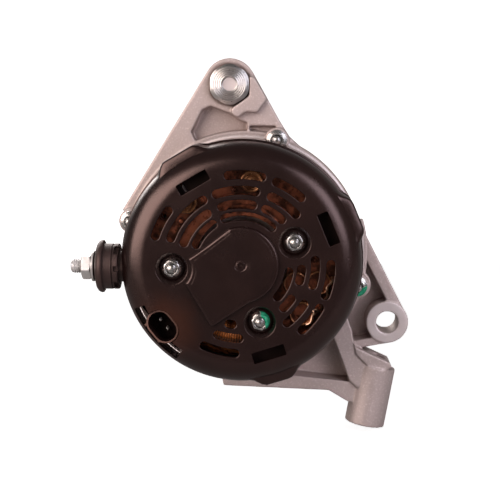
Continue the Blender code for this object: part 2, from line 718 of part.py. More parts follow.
def retainer():
    z0 = 58.3 + GAP
    plate = tube("bearing_retainer", 30.6, 20.0, z0, z0 + 1.6, 20)
    holes = [cylinder("hole", SCREW_HOLE_R, z0 - 1, z0 + 3, polar(SCREW_CIRCLE_R, a), 12)
             for a in SCREW_ANGLES]
    cut(plate, gather("holes", holes))
    finished(plate, "zinc_steel")
    for number, angle in enumerate(SCREW_ANGLES, 1):
        centre = polar(SCREW_CIRCLE_R, angle)
        head_z = z0 + 1.6 + GAP
        screw = cylinder(f"retainer_screw_{number}", 1.8, 50.0, head_z + 1, centre, 12)
        join(screw, cylinder("head", 3.1, head_z, head_z + 1.8, centre, 12))
        finished(screw, "zinc_steel")


# ---------------------------------------------------------------- rotor

def claw(angle, root_z, tip_z):
    """One tapered claw: wide and deep at its root, narrow and thin at its tip."""
    mesh = bpy.data.meshes.new("claw")
    solid = bmesh.new()
    bmesh.ops.create_cube(solid, size=1.0)
    for vert in solid.verts:
        tip = vert.co.z > 0
        half = 3.6 if tip else 9.6
        inner = 43.2 if tip else 34.6
        radius = ROTOR_R + 2 if vert.co.x > 0 else inner
        height = tip_z if tip else root_z
        vert.co = Vector((radius, math.copysign(half, vert.co.y), height)) * MM
    if tip_z < root_z:
        bmesh.ops.reverse_faces(solid, faces=solid.faces)
    bmesh.ops.rotate(solid, verts=solid.verts, cent=(0, 0, 0),
                     matrix=Matrix.Rotation(math.radians(angle), 3, "Z"))
    solid.to_mesh(mesh)
    solid.free()
    return add_object("claw", mesh)


def claw_pole(name, root_z, tip_z, offset):
    direction = 1 if tip_z > root_z else -1
    shoulder = root_z + direction * POLE_DISC
    middle = (POLE_Z[0] + POLE_Z[1]) / 2 - direction * GAP / 2
    bore = SHAFT_CORE_R + FIT
    profile = [(bore, root_z), (38.5, root_z), (38.5, shoulder), (21.5, shoulder), (21.5, middle),
               (bore, middle)]
    pole = turned(name, profile if direction < 0 else profile[::-1], 24)
    claws = [claw(offset + 360.0 * i / CLAWS, root_z, tip_z) for i in range(CLAWS)]
    join(pole, gather("claws", claws))
    low, high = sorted((root_z, tip_z))
    boolean(pole, cylinder("envelope", ROTOR_R, low - 1, high + 1, steps=ROUND), "INTERSECT")
    return finished(pole, "rotor_steel")


def fan(name, base_z, direction, offset):
    """Pressed fan: a disc with blades that stand away from the claw poles."""
    thick = 1.2
    low, high = sorted((base_z, base_z + direction * thick))
    wheel = tube(name, FAN_R, SHAFT_CORE_R + 0.6 if direction < 0 else 11.0, low, high, 24)
    blades = []
    for i in range(FAN_BLADES):
        angle = offset + 360.0 * i / FAN_BLADES + (4.0 if i % 3 == 0 else 0.0)
        a, b = sorted((base_z + direction * 0.5, base_z + direction * 6.2))
        blades.append(prism("blade", bar(polar(38.0, angle), 13.0, 1.2, angle + 38), a, b))
    join(wheel, gather("blades", blades))
    return finished(wheel, "zinc_steel")


def rotor():
    profile = [(0, 147), (SHAFT_TAIL_R - 0.5, 147), (SHAFT_TAIL_R, 146.5), (SHAFT_TAIL_R, 126),
               (SHAFT_REAR_R, 126), (SHAFT_REAR_R, 112.6), (SHAFT_CORE_R, 112.6), (SHAFT_CORE_R, 58.4),
               (SHAFT_R, 58.4), (SHAFT_R, 16), (6.9, 16), (6.9, 1), (5.9, 0), (0, 0)]
    finished(turned("rotor_shaft", profile, SMALL), "zinc_steel")
    claw_pole("claw_pole_front", POLE_Z[0], POLE_Z[1] - 1.0, 0.0)
    claw_pole("claw_pole_rear", POLE_Z[1], POLE_Z[0] + 1.0, 180.0 / CLAWS)
    z0 = POLE_Z[0] + POLE_DISC + GAP
    z1 = POLE_Z[1] - POLE_DISC - GAP
    spool = [(35.0, z1), (35.0, z1 - 1.5), (23.5, z1 - 1.5), (23.5, z0 + 1.5), (35.0, z0 + 1.5),
             (35.0, z0), (21.8, z0), (21.8, z1)]
    finished(turned("coil_bobbin", spool, 20), "insulator")
    coil = [(34.6, z1 - 1.9), (34.6, z0 + 1.9), (23.8, z0 + 1.9), (23.8, z1 - 1.9)]
    finished(turned("field_coil", coil, 20), "copper_enamel")
    fan("fan_front", POLE_Z[0] - GAP, -1, 5.0)
    fan("fan_rear", POLE_Z[1] + GAP, 1, 20.0)
    sleeve = tube("slip_ring_sleeve", 6.1, SHAFT_TAIL_R + FIT, 127.0, 147.4)
    finished(sleeve, "insulator")
    for number, z in enumerate(SLIP_RING_Z, 1):
        ring = tube(f"slip_ring_{number}", SLIP_RING_R, 6.1 + FIT, z - SLIP_RING_HALF,
                    z + SLIP_RING_HALF)
        finished(ring, "slip_copper")


def pulley():
    low, high = PULLEY_Z
    start = high - 3.4
    profile = [(PULLEY_R, high), (PULLEY_R, start)]
    for i in range(RIBS):
        top = start - i * RIB_PITCH
        profile += [(PULLEY_R - RIB_DEPTH, top - RIB_PITCH / 2), (PULLEY_R - 0.5, top - RIB_PITCH)]
    end = start - RIBS * RIB_PITCH - 0.3
    profile += [(PULLEY_R, end), (PULLEY_R, low), (21.0, low), (18.0, low + 7), (SHAFT_R + FIT, low + 7),
                (SHAFT_R + FIT, high + 2.7), (11.2, high + 2.7), (11.2, high - 4), (20.0, high - 8),
                (23.6, high - 4), (23.6, high)]
    finished(turned("pulley", profile, 22), "zinc_steel", 25.0)
    nut = prism("pulley_nut", hexagon((0, 0), 22.0), 3.0, low + 7 - GAP)
    cut(nut, cylinder("thread", 6.9 + FIT, 0, 20, steps=SMALL))
    finished(nut, "zinc_steel")


# ---------------------------------------------------------------- rectifier, regulator, brushes

def diode_places(first):
    return [polar(44.0, first + 50.0 * i) for i in range(3)]


def rectifier():
    studs = [cylinder("clear", 4.4, 120, 140, COVER_STUDS[0], TINY)]
    negative = prism("rectifier_plate_negative", sector(26.0, 58.0, -60, 172, 12), 122.5, 124.7)
    holes = [cylinder("seat", 6.3, 120, 128, c, 16) for c in diode_places(8.0)]
    cut(negative, gather("seats", holes), studs[0])
    finished(negative, "varnished_plate")
    positive = prism("rectifier_plate_positive", sector(25.0, 56.0, -58, 172, 12), 132.0, 134.4)
    join(positive, box("lug", (-60.0, -12.2, 125.2), (-50.0, 8.6, 137.0)))
    holes = [cylinder("seat", 6.3, 130, 138, c, 16) for c in diode_places(33.0)]
    cut(positive, gather("seats", holes), cylinder("clear", 4.4, 120, 140, COVER_STUDS[0], TINY))
    cut(positive, along_x(cylinder("stud_room", TERMINAL_R + GAP, 40, 70, steps=24),
                          TERMINAL_Y, TERMINAL_Z))
    finished(positive, "varnished_plate")
    number = 0
    for first, z0, z1 in ((8.0, 122.6, 131.4), (33.0, 125.2, 137.4)):
        for centre in diode_places(first):
            number += 1
            diode = cylinder(f"diode_{number}", 6.0, z0, z1, centre, 16)
            finished(diode, "zinc_steel")


def voltage_regulator():
    angle = math.degrees(math.atan2(CONNECTOR[1], CONNECTOR[0]))
    middle = polar(48.5, angle)
    body = prism("voltage_regulator", bar(middle, 20.0, 31.0, angle), 122.6, 134.0)
    rim = 2 * CONNECTOR_RIM
    tower = stadium(CONNECTOR, CONNECTOR_SIZE[0] + rim, CONNECTOR_SIZE[1] + rim, angle + 90)
    join(body, prism("tower", tower, 133.0, CONNECTOR_TOP_Z))
    well = stadium(CONNECTOR, *CONNECTOR_SIZE, angle + 90)
    cut(body, prism("well", well, 135.0, CONNECTOR_TOP_Z + 2))
    for side in (-1, 1):
        x, y = polar(side * PIN_SPACING / 2, angle + 90)
        pin = bar((CONNECTOR[0] + x, CONNECTOR[1] + y), 1.6, 0.8, angle + 90)
        join(body, prism("pin", pin, 134.0, CONNECTOR_TOP_Z - 6.6))
    return finished(body, "insulator")


def brush_bar(name, r0, r1, width, z0, z1):
    centre = polar((r0 + r1) / 2, BRUSH_ANGLE)
    return prism(name, bar(centre, r1 - r0, width, BRUSH_ANGLE), z0, z1)


def brush_gear():
    tip_r = SLIP_RING_R + GAP
    end_r = tip_r + BRUSH_LENGTH
    spring_r = end_r + GAP
    holder = brush_bar("brush_holder", 11.5, spring_r + SPRING_LENGTH + 2.4, 9.4, 131.0, 147.4)
    join(holder, brush_bar("foot", 23.0, spring_r + SPRING_LENGTH + 2.4, 15.0, 122.6, 131.6))
    for z in SLIP_RING_Z:
        half = BRUSH_HEIGHT / 2 + GAP
        room = brush_bar("room", 9.0, spring_r + SPRING_LENGTH + GAP, BRUSH_WIDTH + 2 * GAP, z - half,
                         z + half)
        cut(holder, room)
    finished(holder, "insulator")
    for number, z in enumerate(SLIP_RING_Z, 1):
        half = BRUSH_HEIGHT / 2
        brush = brush_bar(f"brush_{number}", tip_r, end_r, BRUSH_WIDTH, z - half, z + half)
        origin = Vector((*polar((tip_r + end_r) / 2, BRUSH_ANGLE), z)) * MM
        moved(brush, Matrix.Translation(-origin))
        brush.location = origin
        finished(brush, "carbon")
        finished(brush_spring(f"brush_spring_{number}", spring_r, z), "zinc_steel", 60.0)


def brush_spring(name, start_r, z):
    """Coil spring along the brush's slide, as a wire with filled ends."""
    curve = bpy.data.curves.new(name, "CURVE")
    curve.dimensions = "3D"
    curve.bevel_depth = SPRING_WIRE_R * MM
    curve.bevel_resolution = 0
    curve.use_fill_caps = True
    spline = curve.splines.new("POLY")
    count = SPRING_TURNS * 6
    spline.points.add(count)
    length = SPRING_LENGTH - 2 * SPRING_WIRE_R
    out = Vector((*polar(1.0, BRUSH_ANGLE), 0))
    side = Vector((*polar(1.0, BRUSH_ANGLE + 90), 0))
    start = out * (start_r + SPRING_WIRE_R) + Vector((0, 0, z))
    for i, point in enumerate(spline.points):
        turn = math.tau * SPRING_TURNS * i / count
        place = start + out * (length * i / count)
        place += side * (SPRING_R * math.cos(turn)) + Vector((0, 0, SPRING_R * math.sin(turn)))
        point.co = (*(place * MM), 1.0)
    guide = bpy.data.objects.new(name + "_wire", curve)
    PIECES.objects.link(guide)
    depsgraph = bpy.context.evaluated_depsgraph_get()
    mesh = bpy.data.meshes.new_from_object(guide.evaluated_get(depsgraph))
    bpy.data.objects.remove(guide)
    return bake(add_object(name, mesh))


# ---------------------------------------------------------------- output terminal

def terminal():
    stud = turned("terminal_stud", [(0, -TERMINAL_TIP_X), (TERMINAL_R - 0.8, -TERMINAL_TIP_X),
                                    (TERMINAL_R, -TERMINAL_TIP_X - 0.8), (TERMINAL_R, 49.6),
                                    (6.2, 49.6), (6.2, 45.8), (0, 45.8)], 24)
    finished(along_x(stud, TERMINAL_Y, TERMINAL_Z), "zinc_steel")
    bore = TERMINAL_R + GAP
    shell = [(bore, 80.4), (7.6, 80.4), (12.2, 78.9), (14.4, 76.8), (14.4, 75.2), (12.5, 74.7),
             (12.5, 66.9), (8.5, 66.9), (8.5, 60.3), (bore, 60.3)]
    finished(along_x(turned("terminal_insulator", shell, 20), TERMINAL_Y, TERMINAL_Z), "insulator")
    washer = tube("terminal_washer", 8.4, TERMINAL_R + FIT, 80.4 + GAP, 82.0)
    finished(along_x(washer, TERMINAL_Y, TERMINAL_Z), "zinc_steel")
    nut = prism("terminal_nut", hexagon((0, 0), 13.0, -11.5), 82.0 + GAP, 87.6)
    cut(nut, cylinder("thread", TERMINAL_R + FIT, 80, 92, steps=24))
    finished(along_x(nut, TERMINAL_Y, TERMINAL_Z), "zinc_steel")


# ---------------------------------------------------------------- assembly

rear_cover()
cover_fixings()
rear_end_frame()
drive_end_frame()
captive_nut()
through_bolts()
stator()
bearing("front_bearing", FRONT_BEARING)
bearing("rear_bearing", REAR_BEARING)
retainer()
rotor()
pulley()
rectifier()
voltage_regulator()
brush_gear()
terminal()

rotor_axis = bpy.data.objects.new("rotor_axis", None)
PIECES.objects.link(rotor_axis)
rotor_axis.rotation_euler = (math.radians(90), 0, 0)
for piece in PIECES.objects:
    if piece is not rotor_axis:
        piece.parent = rotor_axis
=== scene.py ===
"""Looks of the car alternator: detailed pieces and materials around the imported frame.

Shapes are built on the part's bench frame, in millimetres: the rotor axis is Z, z = 0 is the front end
of the shaft and z grows towards the rear cover. BENCH turns a finished piece into the row frame, so
that row X = x, row Y = -z and row Z = y.
"""
import math

import bmesh
import bpy
from mathutils import Matrix, Vector


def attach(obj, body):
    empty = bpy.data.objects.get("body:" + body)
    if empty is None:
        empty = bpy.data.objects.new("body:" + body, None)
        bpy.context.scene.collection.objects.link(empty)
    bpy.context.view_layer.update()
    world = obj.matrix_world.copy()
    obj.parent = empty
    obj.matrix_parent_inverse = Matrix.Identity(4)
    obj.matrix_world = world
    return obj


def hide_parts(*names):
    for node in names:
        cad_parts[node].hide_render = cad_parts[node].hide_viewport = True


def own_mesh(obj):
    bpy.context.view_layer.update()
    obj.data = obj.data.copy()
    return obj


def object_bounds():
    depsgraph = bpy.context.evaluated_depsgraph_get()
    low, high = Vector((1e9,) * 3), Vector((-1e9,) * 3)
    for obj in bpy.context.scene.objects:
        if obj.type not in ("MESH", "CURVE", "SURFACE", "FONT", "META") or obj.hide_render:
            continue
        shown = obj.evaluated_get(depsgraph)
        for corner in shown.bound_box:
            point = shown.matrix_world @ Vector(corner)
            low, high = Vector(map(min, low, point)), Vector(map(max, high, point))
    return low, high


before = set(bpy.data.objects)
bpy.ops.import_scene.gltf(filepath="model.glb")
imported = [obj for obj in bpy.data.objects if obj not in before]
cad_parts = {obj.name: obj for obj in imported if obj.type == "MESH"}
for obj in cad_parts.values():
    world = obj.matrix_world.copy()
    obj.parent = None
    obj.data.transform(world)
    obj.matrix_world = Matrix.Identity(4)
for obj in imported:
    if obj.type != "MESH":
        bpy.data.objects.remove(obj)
cad_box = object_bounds()

MM = 0.001
BENCH = Matrix.Rotation(math.radians(90), 4, "X") @ Matrix.Diagonal((MM, MM, MM, 1.0))
ROUND = 128             # facets of the large turned pieces
SMALL = 48              # facets of studs, nuts and bores

# rear cover
FACE_Z = 150.0
RIM_Z = 126.0
COVER_R = 65.2
COVER_LIP_R = 66.4
COVER_WALL = 2.2
SHOULDER = 13.5
DOME_R = 20.5
DOME_Z = 153.0
STEP_IN = 2.6           # from the raised shape's edge to the step on its top
PANEL = ((-9.5, 17.0), (-21.0, 8.1), (-34.8, -1.3), (-15.6, -33.6), (12.0, -15.4), (8.0, 8.0))
PANEL_SIDE = ((-21.0, 8.1), (-6.0, 19.73), (-9.6, 24.5), (-24.7, 12.8))
PANEL_CLEARANCE = 10.6  # radius kept free round the stud beside the panel
MOUTH = 0.45            # rounding of every opening in the cover's face
SLOT_HALF = 2.3
SLOTS = {               # radius of each row of slots, and where each slot starts and ends in degrees
    47.9: ((73.9, 100.6), (45.7, 69.4), (140.5, 164.2), (-22.6, 3.3), (-49.7, -26.0), (243.0, 269.0)),
    39.7: ((75.3, 112.2), (39.6, 69.2), (116.8, 162.4), (-19.1, 7.0), (-54.8, -28.5), (248.6, 271.8)),
    32.4: ((74.7, 112.0), (44.2, 70.0), (119.0, 162.8), (-19.4, 0.3), (-49.0, -30.0), (254.8, 265.9)),
    26.05: ((45.7, 113.8), (119.2, 160.4), (-46.0, -3.0)),
}
CLIP_ANGLES = (120.0, 22.5, -72.5)      # middles of the three snap bulges
CLIP_HALF = (9.0, 8.0, 7.0)             # half the width of each one's flat
CLIP_R = 68.0
CLIP_TOP_Z = 143.5
CLIP_SOFT = 0.6         # how far above its nominal top a snap bulge starts to swell
CLIP_REACH = 40.0       # degrees to either side of a bulge's middle that are looked at
CLIP_FADE = 9.0         # millimetres over which its flat fades into the round skin
WINDOW_R = 50.4
STUDS = ((28.7, 11.9), (-36.9, -2.2), (10.3, -30.9))
WELL_R = 8.4
WELL_FLOOR_R = 6.4
WELL_Z = 144.6
STUD_TIP_Z = 151.6
CONNECTOR = (-42.1, -33.7)
CONNECTOR_ANGLE = math.degrees(math.atan2(CONNECTOR[1], CONNECTOR[0]))
TERMINAL = (-3.2, 131.0)        # y and z of the output terminal's axis, which lies along -x

# frames
BOLT_ANGLES = (74.0, 164.0, 254.0, 344.0)
BOLT_CIRCLE = 67.7
BOLT_R = 2.5
BOLT_PLAY = 0.3         # gap round a bolt or stud in its hole
TOP_EAR = (-8.5, 96.7)
RIGHT_EAR = (84.5, -43.3)
BARREL_TOP = Vector((78.3, -70.5, 70.0))
BARREL_END = Vector((71.9, -105.6, 70.0))
# radius and z along a stator lead, from the winding up to the rectifier
LEAD_PATH = ((45.5, 110.0), (44.6, 121.0), (43.8, 134.0), (42.8, 141.0), (40.6, 143.4), (37.5, 143.9),
             (34.0, 143.4), (31.6, 141.0), (30.8, 136.0))
TOP_POCKET_Z = 79.0
VOXEL = 0.75            # grid on which a casting's edges are softened
REAR_HALF_Z = (93, 122)     # front and rear of the rear end frame
DRIVE_HALF_Z = (42, 90)     # front and rear of the drive-end frame

# stator
STATOR_SLOTS = 24
SLOT_STEP = 360.0 / STATOR_SLOTS        # degrees
TURN_SPAN = 45.0        # degrees that a turn of the winding spans

# pulley
RIB_PITCH = 3.56
RIBS = 6

# rectifier
PLATE_ARC = (-58.0, 172.0)
POSITIVE_Z = (132.0, 134.4)
NEGATIVE_Z = (122.5, 124.7)
DIODE_CIRCLE = 44.0
DIODE_STEP = 50.0       # degrees from one diode to the next in a plate
LOWER_DIODES = 8.0      # angle of the first diode of each plate
UPPER_DIODES = 33.0

# voltage regulator
SOCKET_TURN = CONNECTOR_ANGLE + 90      # direction of the socket's long axis
SOCKET_FLOOR_Z = 136.5
SOCKET_RIM_Z = 148.0

# brushes
BRUSH_ANGLE = 225.0
BRUSH_Z = (135.5, 143.0)
SPRING_R = 1.9
SPRING_TURNS = 6
SPRING_START = 22.45    # distance of a spring's inner end from the rotor axis
SPRING_LENGTH = 9.9
SPRING_STEPS = 120

# studio, in row metres
FLOOR_GAP = 0.002
SWEEP_FRONT_Y = -0.32
SWEEP_BACK_Y = 0.75     # where the paper starts to bend upwards
SWEEP_BEND = 0.5
SWEEP_HIGH_Z = 2.2
SWEEP_HALF = 3.5
SENSOR_WIDTH = 36.0     # lens and sensor in millimetres
LENS = 84.8
CAMERA_PLACE = (0.0234, -0.770, 0.0775)
CAMERA_DOWN = 6.39      # degrees
CAMERA_YAW = 1.70

# turned surfaces, in metres from ring to ring
FINE_TURNING = 0.00045
COARSE_TURNING = 0.0011


# ---- outlines

def polar(radius, degrees):
    angle = math.radians(degrees)
    return (radius * math.cos(angle), radius * math.sin(angle))


def arc(centre, radius, start, end, count):
    """Points along an arc, both ends included."""
    steps = [start + (end - start) * i / count for i in range(count + 1)]
    return [(centre[0] + polar(radius, a)[0], centre[1] + polar(radius, a)[1]) for a in steps]


def rounded(points, radius, steps=4, closed=True):
    """The same outline with an arc at each corner."""
    outline = []
    count = len(points)
    for i, point in enumerate(points):
        corner = Vector(point)
        back = Vector(points[i - 1]) - corner
        ahead = Vector(points[(i + 1) % count]) - corner
        at_end = not closed and i in (0, count - 1)
        if at_end or min(back.length, ahead.length) < 1e-6 or back.angle(ahead) > 3.0:
            outline.append(tuple(point))
            continue
        half = back.angle(ahead) / 2
        reach = min(radius / math.tan(half), 0.45 * back.length, 0.45 * ahead.length)
        real = reach * math.tan(half)
        centre = corner + (back.normalized() + ahead.normalized()).normalized() * real / math.sin(half)
        first = corner + back.normalized() * reach - centre
        last = corner + ahead.normalized() * reach - centre
        start = math.atan2(first.y, first.x)
        sweep = (math.atan2(last.y, last.x) - start + math.pi) % math.tau - math.pi
        for k in range(steps + 1):
            x, y = polar(real, math.degrees(start + sweep * k / steps))
            outline.append((centre.x + x, centre.y + y))
    return outline


def inset(outline, depth):
    """Every point moved inwards by depth, or outwards where depth is negative."""
    points = [Vector(p) for p in outline]
    area = sum(a.x * b.y - b.x * a.y for a, b in zip(points, points[1:] + points[:1]))
    side = 1.0 if area > 0 else -1.0
    moved = []
    for i, point in enumerate(points):
        one = (point - points[i - 1]).normalized()
        two = (points[(i + 1) % len(points)] - point).normalized()
        normal_one = Vector((-one.y, one.x))
        normal_two = Vector((-two.y, two.x))
        joint = (normal_one + normal_two) / max(1.0 + normal_one.dot(normal_two), 0.2)
        moved.append(tuple(point + joint * depth * side))
    return moved


def arc_slot(radius, half, start, end):
    """Slot along an arc about the axis, with round ends inside its span."""
    end_angle = math.degrees(half / radius)
    start += end_angle
    end -= end_angle
    steps = max(4, round((end - start) / 3))
    outline = arc((0, 0), radius + half, start, end, steps)
    outline += arc(polar(radius, end), half, end, end + 180, 10)[1:-1]
    outline += arc((0, 0), radius - half, end, start, steps)
    return outline + arc(polar(radius, start), half, start - 180, start, 10)[1:-1]


def sector(inner, outer, start, end, corner=0.0):
    steps = max(3, round(abs(end - start) / 3))
    outline = arc((0, 0), outer, start, end, steps) + arc((0, 0), inner, end, start, steps)
    return rounded(outline, corner) if corner else outline


def bar(centre, length, width, degrees, corner=0.0):
    along = Vector(polar(1.0, degrees))
    across = Vector(polar(1.0, degrees + 90))
    corners = ((1, 1), (-1, 1), (-1, -1), (1, -1))
    outline = [tuple(Vector(centre) + along * a * length / 2 + across * b * width / 2)
               for a, b in corners]
    return rounded(outline, corner) if corner else outline


def strip(start, end, width):
    run = Vector(end) - Vector(start)
    middle = tuple((Vector(start) + Vector(end)) / 2)
    return bar(middle, run.length, width, math.degrees(math.atan2(run.y, run.x)))


def stadium(centre, length, width, degrees):
    x, y = polar((length - width) / 2, degrees)
    side = degrees - 90
    return (arc((centre[0] + x, centre[1] + y), width / 2, side, side + 180, 14)
            + arc((centre[0] - x, centre[1] - y), width / 2, side + 180, side + 360, 14))


def hexagon(centre, flats, turn=0.0):
    return [(centre[0] + polar(flats / math.sqrt(3), turn + 60 * i)[0],
             centre[1] + polar(flats / math.sqrt(3), turn + 60 * i)[1]) for i in range(6)]


# ---- solids, in bench millimetres

def placed(name, data):
    obj = bpy.data.objects.new(name, data)
    bpy.context.scene.collection.objects.link(obj)
    return obj


def to_object(name, solid):
    bmesh.ops.recalc_face_normals(solid, faces=solid.faces)
    mesh = bpy.data.meshes.new(name)
    solid.to_mesh(mesh)
    solid.free()
    return placed(name, mesh)


def lathe(name, profile, steps=ROUND, centre=(0.0, 0.0), bend=None):
    """Solid of revolution. bend(radius, z, degrees) may give each point its own place."""
    solid = bmesh.new()
    closed = min(r for r, z in profile) > 1e-6
    rings = []
    for radius, z in profile:
        ring = []
        for i in range(steps if radius > 1e-6 else 1):
            degrees = 360.0 * i / steps
            r, height = bend(radius, z, degrees) if bend else (radius, z)
            x, y = polar(r, degrees)
            ring.append(solid.verts.new((centre[0] + x, centre[1] + y, height)))
        rings.append(ring)
    pairs = list(zip(rings, rings[1:]))
    if closed:
        pairs.append((rings[-1], rings[0]))
    for one, two in pairs:
        for i in range(steps):
            corners = (one[i % len(one)], one[(i + 1) % len(one)], two[(i + 1) % len(two)],
                       two[i % len(two)])
            corners = list(dict.fromkeys(corners))
            if len(corners) > 2:
                solid.faces.new(corners)
    return to_object(name, solid)


def cylinder(name, radius, z0, z1, centre=(0.0, 0.0), steps=SMALL, edge=0.0):
    profile = [(0, z1), (radius, z1), (radius, z0), (0, z0)]
    if edge:
        profile = rounded(profile, edge, 3, closed=False)
    return lathe(name, profile, steps, centre)


def at_bolts(name, radius, z0, z1, steps=SMALL):
    """The same cylinder at each of the four through bolts."""
    return gather([cylinder(name, radius, z0, z1, polar(BOLT_CIRCLE, a), steps) for a in BOLT_ANGLES])


def loft(name, rings):
    """Solid through outlines of the same number of points, given as (outline, z)."""
    solid = bmesh.new()
    rows = [[solid.verts.new((x, y, z)) for x, y in outline] for outline, z in rings]
    count = len(rows[0])
    for one, two in zip(rows, rows[1:]):
        for i in range(count):
            solid.faces.new((one[i], one[(i + 1) % count], two[(i + 1) % count], two[i]))
    solid.faces.new(rows[0])
    solid.faces.new(rows[-1])
    return to_object(name, solid)


def slab(name, outline, z0, z1, low_edge=0.0, high_edge=0.0):
    """A flat outline with thickness, its lower and upper edges rounded."""
    rings = []
    steps = 3
    for k in range(steps + 1 if low_edge else 1):
        turn = math.radians(90 * k / steps) if low_edge else 0.0
        depth = low_edge * (1 - math.sin(turn))
        rings.append((inset(outline, depth), z0 + low_edge * (1 - math.cos(turn))))
    for k in range(steps + 1 if high_edge else 1):
        turn = math.radians(90 * k / steps) if high_edge else 0.0
        depth = high_edge * (1 - math.cos(turn))
        rings.append((inset(outline, depth), z1 - high_edge * (1 - math.sin(turn))))
    return loft(name, rings)


def mouth(name, outline, z0, face_z, edge=MOUTH, above=5.0):
    """Cutter of an opening whose edge with the face at face_z comes out rounded."""
    rings = [(outline, z0)]
    for k in range(4):
        turn = math.radians(30 * k)
        depth = -edge * (1 - math.cos(turn))
        rings.append((inset(outline, depth), face_z - edge + edge * math.sin(turn)))
    rings.append((inset(outline, -edge), face_z + above))
    return loft(name, rings)


def tube_along(name, points, radius, sides=8):
    """Round wire through a list of points."""
    curve = bpy.data.curves.new(name, "CURVE")
    curve.dimensions = "3D"
    curve.bevel_depth = radius
    curve.bevel_resolution = max(0, sides // 2 - 2)
    curve.use_fill_caps = True
    spline = curve.splines.new("POLY")
    spline.points.add(len(points) - 1)
    for place, point in zip(spline.points, points):
        place.co = (*point, 1.0)
    guide = placed(name + "_line", curve)
    depsgraph = bpy.context.evaluated_depsgraph_get()
    mesh = bpy.data.meshes.new_from_object(guide.evaluated_get(depsgraph))
    bpy.data.objects.remove(guide)
    return placed(name, mesh)


def thread(name, major, depth, pitch, z0, z1, centre=(0.0, 0.0)):
    """Screw thread: a ridge of triangular section that winds up a cylinder, with a rounded tip at z1."""
    rings = []
    sides, per_turn = 32, 6
    count = int((z1 - z0) / pitch * per_turn)
    for j in range(count + 1):
        z = z0 + (z1 - z0) * j / count
        ease = min(1.0, (z1 - z) / pitch)
        outline = []
        for i in range(sides):
            phase = (z / pitch - i / sides) % 1.0
            ridge = 1.0 - abs(2.0 * phase - 1.0)
            radius = major - depth * (1.0 - ridge) - 0.9 * depth * (1.0 - ease)
            x, y = polar(radius, 360.0 * i / sides)
            outline.append((centre[0] + x, centre[1] + y))
        rings.append((outline, z))
    return loft(name, rings)


def bake(obj):
    """Replace the object's mesh by its evaluated one."""
    depsgraph = bpy.context.evaluated_depsgraph_get()
    mesh = bpy.data.meshes.new_from_object(obj.evaluated_get(depsgraph))
    obj.modifiers.clear()
    obj.data = mesh
    return obj


def boolean(target, tool, operation):
    modifier = target.modifiers.new(operation, "BOOLEAN")
    modifier.operation = operation
    modifier.solver = "EXACT"
    modifier.object = tool
    bake(target)
    bpy.data.objects.remove(tool)
    solid = bmesh.new()
    solid.from_mesh(target.data)
    bmesh.ops.remove_doubles(solid, verts=solid.verts, dist=0.004)
    bmesh.ops.dissolve_degenerate(solid, edges=solid.edges, dist=0.004)
    solid.to_mesh(target.data)
    solid.free()
    return target


def gather(objects):
    """One object that holds several meshes."""
    first = objects[0]
    solid = bmesh.new()
    for obj in objects:
        solid.from_mesh(obj.data)
    solid.to_mesh(first.data)
    solid.free()
    for obj in objects[1:]:
        bpy.data.objects.remove(obj)
    return first


def join(target, *tools):
    for tool in tools:
        boolean(target, tool, "UNION")
    return target


def cut(target, *tools):
    for tool in tools:
        boolean(target, tool, "DIFFERENCE")
    return target


def moved(obj, matrix):
    obj.data.transform(matrix)
    return obj


def along_x(obj):
    """Lay a piece made about the z axis along the terminal's axis, z becoming -x."""
    turn = Matrix.Rotation(math.radians(-90), 4, "Y")
    return moved(obj, Matrix.Translation((0, *TERMINAL)) @ turn)


def cast(obj, voxel=VOXEL, passes=4):
    """Soften every edge of a casting: remesh on a fine grid, then smooth."""
    remesh = obj.modifiers.new("grid", "REMESH")
    remesh.mode = "VOXEL"
    remesh.voxel_size = voxel
    remesh.use_smooth_shade = True
    soften = obj.modifiers.new("soften", "SMOOTH")
    soften.factor = 0.5
    soften.iterations = passes
    thin = obj.modifiers.new("thin", "DECIMATE")
    thin.ratio = 0.42
    return bake(obj)


def show(obj, nodes, materials, body="housing", sharp=32.0):
    """Turn a finished shape into a piece that rides on a body in place of its CAD nodes."""
    moved(obj, BENCH)
    obj.name = nodes[0] + "_detail"
    obj.data.name = obj.name
    if not obj.data.materials:
        for material in materials:
            obj.data.materials.append(material)
    obj.data.shade_smooth()
    if sharp:
        obj.data.set_sharp_from_angle(angle=math.radians(sharp))
        weights = obj.modifiers.new("weights", "WEIGHTED_NORMAL")
        weights.keep_sharp = True
    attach(obj, body)
    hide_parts(*nodes)
    return obj


def paint(obj, materials, chooser):
    """Give each face the material whose index chooser(centre, normal) returns, before show()."""
    obj.data.materials.clear()
    for material in materials:
        obj.data.materials.append(material)
    for face in obj.data.polygons:
        face.material_index = chooser(face.center, face.normal)
    return obj


# ---- materials

